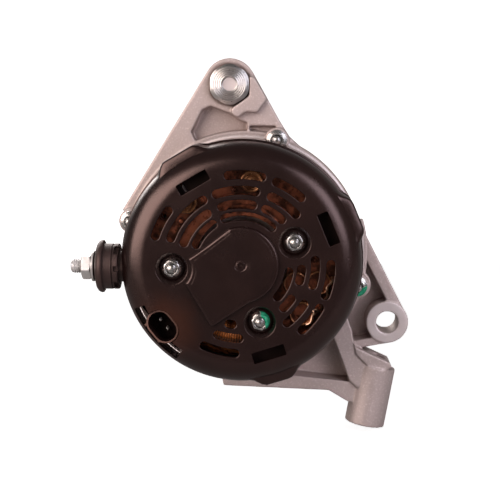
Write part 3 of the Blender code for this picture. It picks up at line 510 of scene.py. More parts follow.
class Shader:
    """A Principled material with short calls for the procedural nodes around it."""

    def __init__(self, name, colour, roughness, metallic=0.0):
        self.material = bpy.data.materials.new(name)
        self.material.use_nodes = True
        self.tree = self.material.node_tree
        self.principled = self.tree.nodes["Principled BSDF"]
        self.colour = self.rgb(colour)
        self.set("Roughness", roughness)
        self.set("Metallic", metallic)
        self.roughness = roughness
        self.place = self.tree.nodes.new("ShaderNodeTexCoord").outputs["Object"]
        self.height = None

    def rgb(self, colour):
        node = self.tree.nodes.new("ShaderNodeRGB")
        node.outputs[0].default_value = (*colour, 1.0)
        return node.outputs[0]

    def set(self, name, value):
        self.principled.inputs[name].default_value = value

    def node(self, kind, inputs, **settings):
        """Outputs of a new node whose inputs are set to numbers or fed from other outputs."""
        node = self.tree.nodes.new("ShaderNode" + kind)
        for setting, value in settings.items():
            setattr(node, setting, value)
        for socket, value in inputs.items():
            if isinstance(value, (int, float, tuple)):
                node.inputs[socket].default_value = value
            else:
                self.tree.links.new(value, node.inputs[socket])
        return node.outputs

    def noise(self, scale, detail=3.0, roughness=0.55):
        inputs = {"Vector": self.place, "Scale": scale, "Detail": detail, "Roughness": roughness}
        return self.node("TexNoise", inputs)["Fac"]

    def cells(self, scale):
        return self.node("TexVoronoi", {"Vector": self.place, "Scale": scale})["Distance"]

    def vector(self, operation, *operands):
        outputs = self.node("VectorMath", dict(enumerate(operands)), operation=operation)
        return outputs["Value" if operation in ("DOT_PRODUCT", "DISTANCE") else "Vector"]

    def math(self, operation, *operands):
        return self.node("Math", dict(enumerate(operands)), operation=operation)[0]

    def steps(self, value, low, high, start=0.0, end=1.0):
        """value taken from low..high to start..end, held outside."""
        inputs = dict(enumerate((value, low, high, start, end)))
        return self.node("MapRange", inputs, interpolation_type="SMOOTHSTEP")[0]

    def mix(self, factor, one, two):
        return self.node("Mix", {0: factor, 6: one, 7: two}, data_type="RGBA")[2]

    def tint(self, factor, colour):
        self.colour = self.mix(factor, self.colour, self.rgb(colour))

    def mottle(self, scale, detail, low, high, share, colour):
        """Patches of another colour where a noise runs from low to high."""
        self.tint(self.steps(self.noise(scale, detail), low, high, 0.0, share), colour)

    def painted_hollow_shade(self, distance, low, high, share, colour):
        """Painted shade: another colour in the corners that are deeper than distance."""
        self.tint(self.steps(self.hollows(distance), low, high, share, 0.0), colour)

    def grain(self, scale, detail, share):
        self.raise_by(self.noise(scale, detail), share)

    def waves(self, distance, pitch, share):
        self.raise_by(self.math("SINE", self.math("MULTIPLY", distance, math.tau / pitch)), share)

    def hollows(self, distance):
        """1 in the open, 0 in a deep corner."""
        return self.node("AmbientOcclusion", {"Distance": distance}, samples=6)["AO"]

    def axis_distance(self, centre):
        """Distance in metres from an axis that runs through the bench point along row Y."""
        spread = self.vector("MULTIPLY", self.place, (1.0, 0.0, 1.0))
        return self.vector("DISTANCE", spread, (centre[0] * MM, 0.0, centre[1] * MM))

    def raise_by(self, value, share):
        part = self.math("MULTIPLY", value, share)
        self.height = part if self.height is None else self.math("ADD", self.height, part)

    def vary(self, value, amount):
        """Roughness moves by amount either way with value."""
        spread = self.math("MULTIPLY_ADD", value, 2.0 * amount, self.roughness - amount)
        self.tree.links.new(spread, self.principled.inputs["Roughness"])

    def done(self, bump=0.0002):
        self.tree.links.new(self.colour, self.principled.inputs["Base Color"])
        if self.height is not None:
            normal = self.node("Bump", {"Distance": bump, "Height": self.height})[0]
            self.tree.links.new(normal, self.principled.inputs["Normal"])
        return self.material


def scaled(colour, share):
    return tuple(min(1.0, share * c) for c in colour)


def moulded_plastic(name, colour, haze, roughness, grain=1.0, gloss=0.8, stain=None):
    """Glass-filled nylon: fine mould grain, cloudy gloss, paler where it is rubbed, browned round a stain."""
    shader = Shader(name, colour, roughness)
    if stain is not None:
        ragged = shader.math("MULTIPLY_ADD", shader.noise(90.0, 3.0), 0.010, shader.axis_distance(stain))
        shader.tint(shader.steps(ragged, 0.012, 0.029, 0.7, 0.0), (0.034, 0.0105, 0.0050))
    shader.mottle(35.0, 3.0, 0.45, 0.75, 0.55, haze)
    shader.mottle(14.0, 2.0, 0.5, 0.72, 0.6, scaled(haze, 1.5))
    shader.mottle(1400.0, 2.0, 0.62, 0.8, 0.25, scaled(haze, 2.2))
    shader.vary(shader.noise(90.0, 4.0), 0.07)
    shader.grain(2600.0, 3.0, 0.5 * grain)
    shader.grain(700.0, 3.0, 0.5 * grain)
    shader.set("Specular IOR Level", gloss)
    shader.set("Specular Tint", (1.0, 0.74, 0.70, 1.0))
    return shader.done(0.00008)


def cast_metal(name):
    """Die-cast aluminium after blasting: a fine sandy skin, with painted shade that makes it darker and
    browner in its hollows.
    """
    shader = Shader(name, (0.45, 0.38, 0.365), 0.42, 0.5)
    shader.mottle(28.0, 4.0, 0.4, 0.7, 0.6, (0.46, 0.385, 0.37))
    shader.mottle(900.0, 3.0, 0.5, 0.75, 0.5, (0.68, 0.61, 0.60))
    shader.tint(shader.steps(shader.cells(420.0), 0.0, 0.12, 0.35, 0.0), (0.24, 0.18, 0.17))
    # painted shade: browner in the wider hollows, dark brown in tight creases
    shader.painted_hollow_shade(0.022, 0.15, 0.75, 0.3, (0.30, 0.20, 0.17))
    shader.painted_hollow_shade(0.004, 0.35, 0.85, 0.7, (0.13, 0.085, 0.07))
    shader.vary(shader.noise(160.0, 4.0), 0.08)
    shader.raise_by(shader.noise(1500.0, 4.0, 0.65), 0.7)
    shader.grain(260.0, 3.0, 0.6)
    return shader.done(0.00022)


def machined_metal(name, centre):
    """Turned face: fine rings about its own axis."""
    shader = Shader(name, (0.62, 0.56, 0.555), 0.4, 0.55)
    shader.mottle(60.0, 3.0, 0.4, 0.7, 0.5, (0.50, 0.44, 0.435))
    shader.mottle(1200.0, 2.0, 0.55, 0.8, 0.4, (0.70, 0.65, 0.64))
    shader.vary(shader.noise(300.0, 3.0), 0.08)
    shader.waves(shader.axis_distance(centre), FINE_TURNING, 0.12)
    shader.grain(1600.0, 3.0, 0.4)
    return shader.done(0.0001)


def plated(name, colour, roughness, metallic=1.0, rings_at=None):
    """Plated or drawn metal, still open: bright, slightly clouded, with fine tool marks."""
    shader = Shader(name, colour, roughness, metallic)
    shader.mottle(240.0, 3.0, 0.45, 0.75, 0.6, scaled(colour, 0.72))
    # painted shade: darker in tight corners
    shader.painted_hollow_shade(0.003, 0.2, 0.8, 0.7, (0.10, 0.085, 0.08))
    shader.vary(shader.noise(700.0, 3.0), 0.08)
    shader.grain(2200.0, 2.0, 0.4)
    if rings_at is not None:
        shader.waves(shader.axis_distance(rings_at), COARSE_TURNING, 0.2)
    return shader


def plated_steel(name, colour, roughness, bump, metallic=1.0, rings_at=None):
    return plated(name, colour, roughness, metallic, rings_at).done(bump)


def dark_steel(name, colour, roughness, stripes=0.0):
    """Bare or phosphated steel, striped along the rotor axis where it is stacked from sheets."""
    shader = Shader(name, colour, roughness, 0.9)
    shader.mottle(120.0, 4.0, 0.45, 0.7, 0.6, scaled(colour, 0.6))
    shader.mottle(40.0, 3.0, 0.6, 0.8, 0.35, (0.20, 0.10, 0.05))
    shader.vary(shader.noise(300.0, 3.0), 0.1)
    shader.grain(900.0, 3.0, 0.4)
    if stripes:
        shader.waves(shader.vector("DOT_PRODUCT", shader.place, (0.0, 1.0, 0.0)), stripes, 0.5)
    return shader.done(0.00015)


def varnish(name, colour, deep, metallic, roughness=0.3):
    """Enamel or insulating varnish: glossy, pooled dark in places, streaked."""
    shader = Shader(name, colour, roughness, metallic)
    shader.mottle(160.0, 4.0, 0.42, 0.62, 0.9, deep)
    shader.mottle(600.0, 3.0, 0.6, 0.8, 0.5, scaled(colour, 1.7))
    # painted shade: darker in tight corners
    shader.painted_hollow_shade(0.004, 0.2, 0.8, 0.8, scaled(deep, 0.15))
    shader.vary(shader.noise(400.0, 3.0), 0.1)
    shader.grain(500.0, 3.0, 0.8)
    return shader.done(0.0003)


def painted_nut(name, centre, angle):
    """Zinc plate with a dab of green paint on the side that faces the given angle."""
    shader = plated(name, (0.78, 0.77, 0.75), 0.24)
    direction = (math.cos(math.radians(angle)), 0.0, math.sin(math.radians(angle)))
    offset = shader.vector("SUBTRACT", shader.place, (centre[0] * MM, 0.0, centre[1] * MM))
    reach = shader.vector("DOT_PRODUCT", offset, direction)
    ragged = shader.math("MULTIPLY_ADD", shader.noise(320.0, 3.0), 0.004, -0.002)
    cover = shader.steps(shader.math("ADD", reach, ragged), 0.0010, 0.0017)
    thick = shader.steps(shader.noise(900.0, 2.0), 0.4, 0.7)
    green = shader.mix(thick, shader.rgb((0.008, 0.17, 0.085)), shader.rgb((0.03, 0.30, 0.17)))
    shader.colour = shader.mix(cover, shader.colour, green)
    metal = shader.math("SUBTRACT", 1.0, cover)
    shader.tree.links.new(metal, shader.principled.inputs["Metallic"])
    return shader.done(0.0001)


COVER_BLACK = moulded_plastic("cover_nylon", (0.0062, 0.0026, 0.0024), (0.013, 0.0060, 0.0050), 0.25,
                              stain=CONNECTOR)
# Darker, matter copy of the cover's nylon for the snap tongues under the windows: painted shade that keeps
# the windows dark.
TONGUE_PAINTED_SHADE = moulded_plastic("tongue_nylon_painted_shade", (0.0045, 0.0020, 0.0018), (0.008, 0.0036, 0.0030), 0.5,
                               gloss=0.2)
# Black copy of the regulator's nylon for its socket well and underside: painted shade.
SOCKET_PAINTED_SHADE = moulded_plastic("socket_nylon_painted_shade", (0.0045, 0.0018, 0.0016), (0.007, 0.0032, 0.0028), 0.6,
                               gloss=0.12)
# Near-white, almost matt tin for the socket pins and strips: a painted highlight that stays bright from any
# side.
TIN_PAINTED_BRIGHT = plated_steel("tin_painted_bright", (0.95, 0.90, 0.87), 0.35, 0.00005, 0.1)
BRIGHT_COPPER = plated_steel("bright_copper", (0.85, 0.55, 0.38), 0.3, 0.00006)
BROWN_NYLON = moulded_plastic("regulator_nylon", (0.095, 0.050, 0.038), (0.14, 0.080, 0.064), 0.42, 1.1)
BLACK_NYLON = moulded_plastic("insulator_nylon", (0.016, 0.010, 0.0095), (0.028, 0.018, 0.016), 0.48, 1.3)
CAST = cast_metal("cast_aluminium_rough")
EAR_FACE = machined_metal("machined_right_ear", RIGHT_EAR)
TURNED_FACE = machined_metal("machined_about_rotor", (0.0, 0.0))
ZINC = plated_steel("zinc_plate", (0.72, 0.71, 0.695), 0.27, 0.0001)
# Paler, less metallic zinc for the output terminal: painted brightness in place of its bright reflections.
ZINC_PAINTED_BRIGHT = plated_steel("zinc_painted_bright", (0.80, 0.80, 0.80), 0.3, 0.0001, 0.6)
CAPTIVE_ZINC = plated_steel("captive_nut_zinc", (0.66, 0.645, 0.635), 0.3, 0.00012, rings_at=TOP_EAR)
SHAFT_STEEL = plated_steel("ground_steel", (0.56, 0.55, 0.54), 0.26, 0.00006)
PULLEY_STEEL = dark_steel("pulley_phosphate", (0.16, 0.155, 0.15), 0.42)
LAMINATIONS = dark_steel("stacked_sheets", (0.27, 0.25, 0.235), 0.45, 0.001)
ROTOR_STEEL = dark_steel("forged_claws", (0.20, 0.185, 0.175), 0.5)
COPPER = varnish("copper_enamel", (0.46, 0.15, 0.04), (0.16, 0.045, 0.012), 0.5)
PLATE_VARNISH = varnish("rectifier_varnish", (0.34, 0.105, 0.052), (0.05, 0.016, 0.008), 0.6)
DIODE_VARNISH = varnish("diode_varnish", (0.48, 0.22, 0.10), (0.14, 0.05, 0.022), 0.7, 0.25)
SLIP_COPPER = plated_steel("slip_copper", (0.75, 0.40, 0.25), 0.22, 0.00008)
CARBON = dark_steel("pressed_carbon", (0.05, 0.05, 0.052), 0.6)


# ---- rear cover

def clip_pull(degrees):
    """Share of the way out to a snap bulge's flat at this angle, and that flat's radius."""
    best = (0.0, COVER_R)
    for angle, half in zip(CLIP_ANGLES, CLIP_HALF):
        away = (degrees - angle + 180.0) % 360.0 - 180.0
        if abs(away) > CLIP_REACH:
            continue
        across = abs(66.0 * math.tan(math.radians(away)))
        fade = min(1.0, max(0.0, (half + 8.0 - across) / CLIP_FADE))
        fade *= fade * (3.0 - 2.0 * fade)
        if fade > best[0]:
            best = (fade, CLIP_R / math.cos(math.radians(away)) - 0.15)
    return best


def raised_shape(name, step, z0, z1, edge):
    """Dome over the slip rings and panel over the brushes in one, drawn in by step all round."""
    shape = slab(name, rounded(inset(PANEL, step), 1.8, 3), z0, z1, high_edge=edge)
    rim = DOME_R - step
    profile = [(0, z1), (rim - edge, z1)] + arc((rim - edge, z1 - edge), edge, 90, 0, 6)[1:]
    join(shape, lathe("dome", profile + [(rim, z0), (0, z0)]))
    side = mouth("side", inset(PANEL_SIDE, -step), z0 - 1, z1, edge)
    around = mouth("around", arc(STUDS[1], PANEL_CLEARANCE + step, 0, 355, 71), z0 - 1, z1, edge)
    return cut(shape, side, around)


def rear_cover():
    inside = COVER_R - COVER_WALL
    low = FACE_Z - SHOULDER
    heights = [low + SHOULDER * math.sin(math.radians(a)) for a in range(90, 0, -5)]
    heights += [CLIP_TOP_Z + rise for rise in (0.6, 0.5, 0.38, 0.22, 0.0, -0.3, -0.7, -1.2, -2.0)]
    skin = [(0, FACE_Z), (30, FACE_Z)]
    skin += [(COVER_R - SHOULDER + math.sqrt(max(0.0, SHOULDER ** 2 - (z - low) ** 2)), z)
             for z in sorted(heights, reverse=True)]
    skin += [(COVER_R, low), (COVER_R + 0.1, RIM_Z + 3.4), (COVER_R + 0.3, RIM_Z + 3.0),
             (COVER_LIP_R - 0.3, RIM_Z + 2.8), (COVER_LIP_R, RIM_Z + 2.5), (COVER_LIP_R, RIM_Z + 0.4),
             (COVER_LIP_R - 0.4, RIM_Z), (0, RIM_Z)]

    def bulge(radius, z, degrees):
        if radius < inside - 4.0 or z > CLIP_TOP_Z + CLIP_SOFT:
            return radius, z
        fade, flat = clip_pull(degrees)
        drop = min(1.0, (CLIP_TOP_Z + CLIP_SOFT - z) / (4.3 * CLIP_SOFT))
        share = (1.0 - (1.0 - drop) ** 4) * fade
        if z < RIM_Z + 1.5:
            share *= 0.6
        return radius + share * max(0.0, flat - radius), z

    cover = lathe("cover", skin, 180, bend=bulge)
    inner = SHOULDER - COVER_WALL
    hollow = [(0, FACE_Z - COVER_WALL)]
    hollow += arc((inside - inner, low), inner, 90, 0, 12)
    hollow += [(inside, RIM_Z - 1), (0, RIM_Z - 1)]
    cut(cover, lathe("hollow", hollow, 180))
    join(cover, raised_shape("raised", 0.0, FACE_Z - 1.5, DOME_Z - 0.25, 1.4),
         raised_shape("raised_top", STEP_IN, DOME_Z - 1.0, DOME_Z, 0.2))
    cut(cover, cylinder("dome_room", DOME_R - COVER_WALL, FACE_Z - 4, DOME_Z - COVER_WALL, steps=96))
    gate = [(0, DOME_Z + 1), (3.6, DOME_Z + 1), (3.6, DOME_Z)]
    gate += [(3.2, DOME_Z - 0.3), (2.5, DOME_Z - 0.35), (1.9, DOME_Z - 0.05), (1.4, DOME_Z - 0.1),
             (1.0, DOME_Z - 0.7), (0, DOME_Z - 0.8)]
    cut(cover, lathe("gate", gate, SMALL))
    rooms = []
    for place in STUDS:
        join(cover, cylinder("well", WELL_R + 1.6, WELL_Z - COVER_WALL, FACE_Z - 0.8, place, 64))
        room = [(0, WELL_Z), (WELL_FLOOR_R - 0.3, WELL_Z), (WELL_FLOOR_R + 0.1, WELL_Z + 0.4)]
        room += [(WELL_R + MOUTH - polar(MOUTH, a)[0], FACE_Z - MOUTH + polar(MOUTH, a)[1])
                 for a in (0, 30, 60, 90)]
        room += [(WELL_R + MOUTH, FACE_Z + 1), (0, FACE_Z + 1)]
        rooms.append(lathe("well_room", room, 64, place))
    cut(cover, gather(rooms))
    openings = [mouth("slot", arc_slot(radius, SLOT_HALF, *span), FACE_Z - 4, FACE_Z, above=0.9)
                for radius, spans in SLOTS.items() for span in spans]
    openings += [mouth("window", bar(polar(WINDOW_R, a), 18.0, 6.0, a + 90, 0.5), RIM_Z + 16, FACE_Z, 0.3)
                 for a in CLIP_ANGLES]
    openings += [cylinder("stud_hole", BOLT_R + BOLT_PLAY, WELL_Z - 4, WELL_Z + 0.7, place)
                 for place in STUDS]
    cut(cover, gather(openings))
    tongues = [slab("tongue", bar(polar(55.0, a), 16.0, 21.0, a), 139.2, 140.6) for a in CLIP_ANGLES]
    join(cover, gather(tongues))
    cut(cover, slab("rib_room", bar(polar(WINDOW_R, 127.6), 7.0, 1.8, 122), 138, 142),
        slab("socket_room", stadium(CONNECTOR, 20.0, 14.7, CONNECTOR_ANGLE + 90), RIM_Z + 2, DOME_Z),
        slab("side_room", sector(56.0, 62.6, 203, 236, 0.5), RIM_Z + 9, DOME_Z),
        along_x(cylinder("notch", 8.9, 40, 80)))
    # the tongues take the darker copy: painted shade seen through the windows
    paint(cover, [COVER_BLACK, TONGUE_PAINTED_SHADE],
          lambda c, n: 1 if c.z < 141.0 and math.hypot(c.x, c.y) < 61.0 else 0)
    show(cover, ["rear_cover"], [], sharp=40.0)


# ---- nuts, studs and bolts

def hex_nut(name, centre, z0, z1, flats, bore, turn=0.0, chamfer_low=False):
    """Hexagon nut whose corners are turned off to a cone."""
    nut = slab(name, hexagon(centre, flats, turn), z0, z1)
    reach = flats / math.sqrt(3)
    drop = (reach - flats / 2) * 0.62
    profile = [(0, z1 + 0.01), (flats / 2 * 0.93, z1 + 0.01), (reach + 0.4, z1 - drop - 0.25)]
    if chamfer_low:
        profile += [(reach + 0.4, z0 + drop + 0.25), (flats / 2 * 0.93, z0 - 0.01), (0, z0 - 0.01)]
    else:
        profile += [(reach + 0.4, z0 - 1), (0, z0 - 1)]
    boolean(nut, lathe("cone", profile, SMALL, centre), "INTERSECT")
    hole = [(0, z0 - 3), (bore, z0 - 3), (bore, z1 - 0.5), (bore + 0.5, z1), (bore + 0.5, z1 + 2),
            (0, z1 + 2)]
    cut(nut, lathe("bore", hole, 32, centre))
    edges = nut.modifiers.new("edges", "BEVEL")
    edges.width = 0.16
    edges.segments = 2
    edges.limit_method = "ANGLE"
    return bake(nut)


def flange_nut(node, centre, z, height, flange_r, turn, material):
    nut = hex_nut(node, centre, z + 0.9, z + height, 8.0, BOLT_R + 0.12, turn)
    rim = [(BOLT_R + 0.12, z), (flange_r - 0.3, z), (flange_r, z + 0.3), (flange_r - 0.15, z + 0.7),
           (4.4, z + 1.5), (4.0, z + 1.7), (BOLT_R + 0.12, z + 1.7)]
    show(gather([nut, lathe("flange", rim, SMALL, centre)]), [node], [material])


def stud(node, centre, z0, z1, extra=()):
    """Threaded stud with a domed end."""
    tip = [(0, z1), (0.9, z1 - 0.06), (1.6, z1 - 0.3), (1.95, z1 - 0.75), (1.95, z1 - 2.0), (0, z1 - 2.0)]
    parts = [thread(node, BOLT_R, 0.42, 0.8, z0, z1 - 0.8, centre), lathe("tip", tip, 32, centre)]
    show(gather(parts + list(extra)), [node], [ZINC])


def fixings():
    for number, centre in enumerate(STUDS, 1):
        collar = cylinder("collar", 4.0, 122.3, WELL_Z - COVER_WALL - 0.3, centre, edge=0.3)
        stud(f"cover_stud_{number}", centre, 119.2, STUD_TIP_Z, [collar])
        material = ZINC if number < 3 else painted_nut("cover_nut_3_paint", centre, 22.0)
        flange_nut(f"cover_nut_{number}", centre, WELL_Z + 0.3, 5.0, 5.35, 15.0 * number, material)
    for number, angle in enumerate(BOLT_ANGLES, 1):
        centre = polar(BOLT_CIRCLE, angle)
        head = hex_nut("head", centre, 56.4, 61.7, 8.0, 0.5, angle, True)
        stud(f"through_bolt_{number}", centre, 58.6, 105.5, [head])
        material = ZINC if number < 4 else painted_nut("bolt_nut_4_paint", centre, -70.0)
        flange_nut(f"through_bolt_nut_{number}", centre, 97.3, 5.4, 5.9, angle, material)


def captive_nut():
    nut = hex_nut("captive_nut", TOP_EAR, 88.3, 93.6, 22.0, 9.4, 30.0)
    turned = [(0, 93.7), (9.9, 93.7), (11.55, 92.6), (11.55, 88), (0, 88)]
    boolean(nut, lathe("turned", turned, 96, TOP_EAR), "INTERSECT")
    rings = [(0, 93.1), (3.7, 93.1), (4.1, 93.25), (4.4, 93.7)]
    for k in range(5):
        inner = 4.4 + 1.1 * k
        rings += [(inner + 0.25, 93.92), (inner + 0.72, 93.96), (inner + 1.0, 93.68), (inner + 1.1, 93.66)]
    rings += [(10.0, 93.5), (10.0, 89.0), (0, 89.0)]
    face = lathe("rings", rings, 96, TOP_EAR)
    shank = lathe("shank", [(7.6, 88.6), (7.6, 68.4), (7.2, 68.0), (5.1, 68.0), (5.1, 88.6)], SMALL, TOP_EAR)
    whole = gather([nut, face, shank])
    paint(whole, [CAPTIVE_ZINC, EAR_FACE], lambda c, n: 1 if 93.0 < c.z < 93.12 and n.z > 0.9 else 0)
    show(whole, ["captive_nut"], [], sharp=50.0)


# ---- castings

def rear_end_frame():
    front, rear = REAR_HALF_Z
    outer = [(0, rear), (64.5, rear), (66.5, rear - 2), (66.5, front), (0, front)]
    shell = lathe("rear_end_frame", outer, 144)
    ribs = [slab("rib", bar(polar(44, a), 38, 2.2, a), rear - 1, rear + 2.5)
            for a in (40, 81, 121, 187, 238, 289, 328)]
    join(shell, cylinder("hub", 22, rear - 1, rear + 4, steps=96, edge=0.8),
         at_bolts("lug", 7.0, front, front + 4), gather(ribs),
         slab("window_rib", bar(polar(WINDOW_R, 127.6), 4.6, 0.9, 122), rear - 1, 141))
    room = [(0, 127), (14.6, 127), (14.6, 124.3), (17.65, 124.3), (17.65, 112.4), (22, 112.4), (22, 118),
            (59.4, 118), (59.4, 104.3), (61.7, 104.3), (61.7, 92), (0, 92)]
    cut(shell, lathe("room", room, 144))
    cut(shell, at_bolts("scallop", 6.6, front + 4, rear + 2))
    holes = [at_bolts("bolt_hole", BOLT_R + BOLT_PLAY, front - 2, front + 5, 24)]
    holes += [cylinder("stud_hole", BOLT_R + BOLT_PLAY, 115, rear + 2, place, 24) for place in STUDS]
    vents = ((45, 78), (85, 118), (125, 165), (200, 235), (242, 280), (298, 325), (332, 372))
    holes += [slab("vent", sector(40.8, 57.0, a, b, 2.0), 115, 126) for a, b in vents]
    cut(shell, gather(holes))
    cast(shell)
    paint(shell, [CAST, TURNED_FACE], lambda c, n: 1 if c.z < front + 0.4 and n.z < -0.8 else 0)
    show(shell, ["rear_end_frame"], [], sharp=0)


def top_ear():
    x, y = TOP_EAR
    left = polar(15.0, 148.7)
    edge = [(-71.2, 24.4), (x + left[0], y + left[1])] + arc(TOP_EAR, 15.0, 148.7, 29.5, 24)[1:]
    edge += [(20.2, 76.0), (26.1, 66.6), (32.4, 61.0), (20.0, 50.0), (-55.0, 20.0)]
    return edge


def ear_pad():
    """Pad beside the captive nut: it hugs the right and the lower right flats."""
    x, y = TOP_EAR
    pad = [(x + 11.3, y + 5.0), (x + 11.3, y - 6.5), (x + 1.2, y - 13.6), (x + 1.0, y - 16.5),
           (x + 4.5, y - 19.0), (x + 9.0, y - 15.6), (x + 16.0, y - 15.8), (x + 19.0, y - 11.5),
           (x + 21.6, y - 8.5), (x + 14.2, y + 4.0)]
    return rounded(pad, 2.0, 4)


def barrel(radius, above=0.0, below=0.0, steps=64):
    """Cylinder on the slanted pivot barrel's axis, longer than the barrel by above and below."""
    run = BARREL_END - BARREL_TOP
    half = run.length / 2
    obj = cylinder("barrel", radius, -half - above, half + below, steps=steps)
    turn = Vector((0, 0, 1)).rotation_difference(run).to_matrix().to_4x4()
    return moved(obj, Matrix.Translation((BARREL_TOP + BARREL_END) / 2) @ turn)


def drive_end_frame():
    front, rear = DRIVE_HALF_Z
    outer = [(0, rear), (69, rear), (69, 62), (64, 54), (31, 46), (28.5, front), (0, front)]
    shell = lathe("drive_end_frame", rounded(outer, 2.5, 4, False), 144)
    right_floor = [(61.0, 16.0), (71.2, 9.4), (82.5, -12.1), (92.9, -33.2), (96.0, -40.0), (88.0, -55.2),
                   (76.2, -58.7), (66.0, -60.6), (54.0, -44.0)]
    arm_floor = [(-17.0, -60.0), (-12.8, -81.8), (49.9, -84.3), (60.9, -90.8), (80.0, -86.0),
                 (79.0, -69.5), (66.0, -60.5), (58.0, -40.0)]
    arm = [(-13.0, -82.0), (50.0, -84.6), (61.0, -91.2), (66.5, -91.7), (66.5, -79.5), (58.5, -78.8),
           (30.4, -75.8), (-15.0, -72.7)]
    web = [(51.5, -50.5), (53.5, -54.8), (62.0, -77.8), (66.0, -82.0), (76.0, -80.0), (77.0, -70.0),
           (73.1, -66.2), (69.6, -64.4), (64.7, -55.9), (63.5, -47.5), (61.0, -40.5), (54.0, -41.0)]
    strut = [(64.3, -54.5), (66.2, -58.0), (86.1, -67.1), (87.5, -70.0), (80.0, -72.0), (73.0, -69.0),
             (66.0, -62.0)]
    join(shell, at_bolts("lug", 7.0, 62, rear), slab("top_ear", top_ear(), 68, 88),
         slab("ear_pad", ear_pad(), 87, 92.2), slab("right_floor", right_floor, 56, 60),
         slab("outer_rib", strip((66.0, 12.1), (92.2, -38.9), 6.8), 56.2, 75),
         slab("bottom_rib", strip((62.0, -57.8), (86.0, -53.4), 4.8), 56.4, 75.1),
         cylinder("ear_boss", 12.5, 54, 76, RIGHT_EAR, 80), slab("arm_floor", arm_floor, 58, 62),
         slab("arm", arm, 58.3, 77), slab("web", web, 58.6, 79.2), slab("strut", strut, 58.9, 80.6),
         barrel(11.9), slab("rim_land", sector(64.0, 71.4, -50, 16), 84.2, rear + 0.2),
         cylinder("nut_land", 8.4, 83.5, rear + 0.4, polar(BOLT_CIRCLE, BOLT_ANGLES[3])))

    pocket = [(-24.5, 82.5), (-19.5, 84.5), (-8.5, 80.2), (-3.0, 76.4), (1.5, 75.0)]
    pocket += arc((0, 0), 70.3, 88.5, 114, 8) + [(-31.0, 69.5)]
    recess = arc((0, 0), 70.3, 74.5, 87.7, 6) + [(3.0, 73.2), (18.3, 72.8)]
    room = [(0, 92), (61.7, 92), (61.7, 71.7), (59.4, 71.7), (59.4, 61), (56, 58.5), (31, 51.5), (31, 58.3),
            (23.65, 58.3), (23.65, 43.7), (20, 43.7), (20, 41), (0, 41)]
    cut(shell, slab("top_pocket", pocket, TOP_POCKET_Z, 94), slab("top_recess", recess, 84.6, 94),
        barrel(5.2, 10.0, 4.0, 40), cylinder("ear_hole", 6.5, 52, 78, RIGHT_EAR),
        cylinder("ear_bore", 7.75, 66, 87.8, TOP_EAR), cylinder("ear_ring", 12.4, 87.3, 89.4, TOP_EAR, 64),
        lathe("room", room, 144), at_bolts("bolt_hole", BOLT_R + BOLT_PLAY, 60, 92, 24))
    holes = [at_bolts("head_room", 6.2, 50, 62)]
    holes += [cylinder("screw_hole", 2.1, 49, 60, polar(27.4, a), 24) for a in (30, 150, 270)]
    holes += [slab("front_vent", sector(35, 54, a + 5, a + 40, 2.5), 40, 60) for a in range(0, 360, 45)]
    cut(shell, gather(holes))
    vents = [slab("side_vent", bar(polar(65, a), 16, 10.5, a), 59.4, 66.8)
             for a in (30, 50, 100, 130, 185, 205, 225)]
    cut(shell, gather(vents))
    cast(shell, 0.6, 2)

    def surface(centre, normal):
        from_ear = math.hypot(centre.x - RIGHT_EAR[0], centre.y - RIGHT_EAR[1])
        if from_ear < 12.2 and abs(normal.z) > 0.9 and (centre.z > 75.5 or centre.z < 54.5):
            return 1
        if centre.z > rear - 0.4 and normal.z > 0.8 and 60.0 < math.hypot(centre.x, centre.y) < 69.5:
            return 2
        return 0

    paint(shell, [CAST, EAR_FACE, TURNED_FACE], surface)
    show(shell, ["drive_end_frame"], [], sharp=0)


# ---- stator

def stator():
    core = lathe("stator_core", [(61.4, 104), (61.4, 72), (48.2, 72), (48.2, 104)], 144)
    slots = [slab("slot", bar(polar(52, SLOT_STEP * i), 11.4, 3.2, SLOT_STEP * i), 71, 105)
             for i in range(STATOR_SLOTS)]
    cut(core, gather(slots))
    show(core, ["stator_core"], [LAMINATIONS])
    wires = []
    for i in range(STATOR_SLOTS):
        at = SLOT_STEP * i              # angle of this slot
        wires.append(slab("leg", bar(polar(53.3, at), 7.4, 2.5, at, 0.5), 70.5, 105.5))
        for outer_z, base_z in ((114.0, 104.8), (62.9, 71.2)):
            for shift, low_r, high_r in ((0.0, 50.2, 57.4), (7.5, 52.8, 56.0)):
                path = []
                for k in range(9):
                    share = k / 8
                    x, y = polar(low_r + (high_r - low_r) * share, at + shift + TURN_SPAN * share)
                    lift = math.sin(math.pi * share) ** 0.7
                    path.append((x, y, base_z + (outer_z - base_z) * lift * (1.0 if shift == 0.0 else 0.8)))
                wires.append(tube_along("turn", path, 0.85, 6))
    for k in range(13):
        angle = 246.5 + 1.95 * k
        wires.append(tube_along("lead", [(*polar(r, angle), z) for r, z in LEAD_PATH], 0.72, 8))
    for z0, z1 in ((104.5, 107.6), (68.6, 71.5)):
        ring = rounded([(58.3, z1), (58.3, z0), (49.6, z0), (49.6, z1)], 1.0, 3)
        wires.append(lathe("bundle", ring, 96))
    show(gather(wires), ["stator_winding"], [COPPER])


# ---- rotor

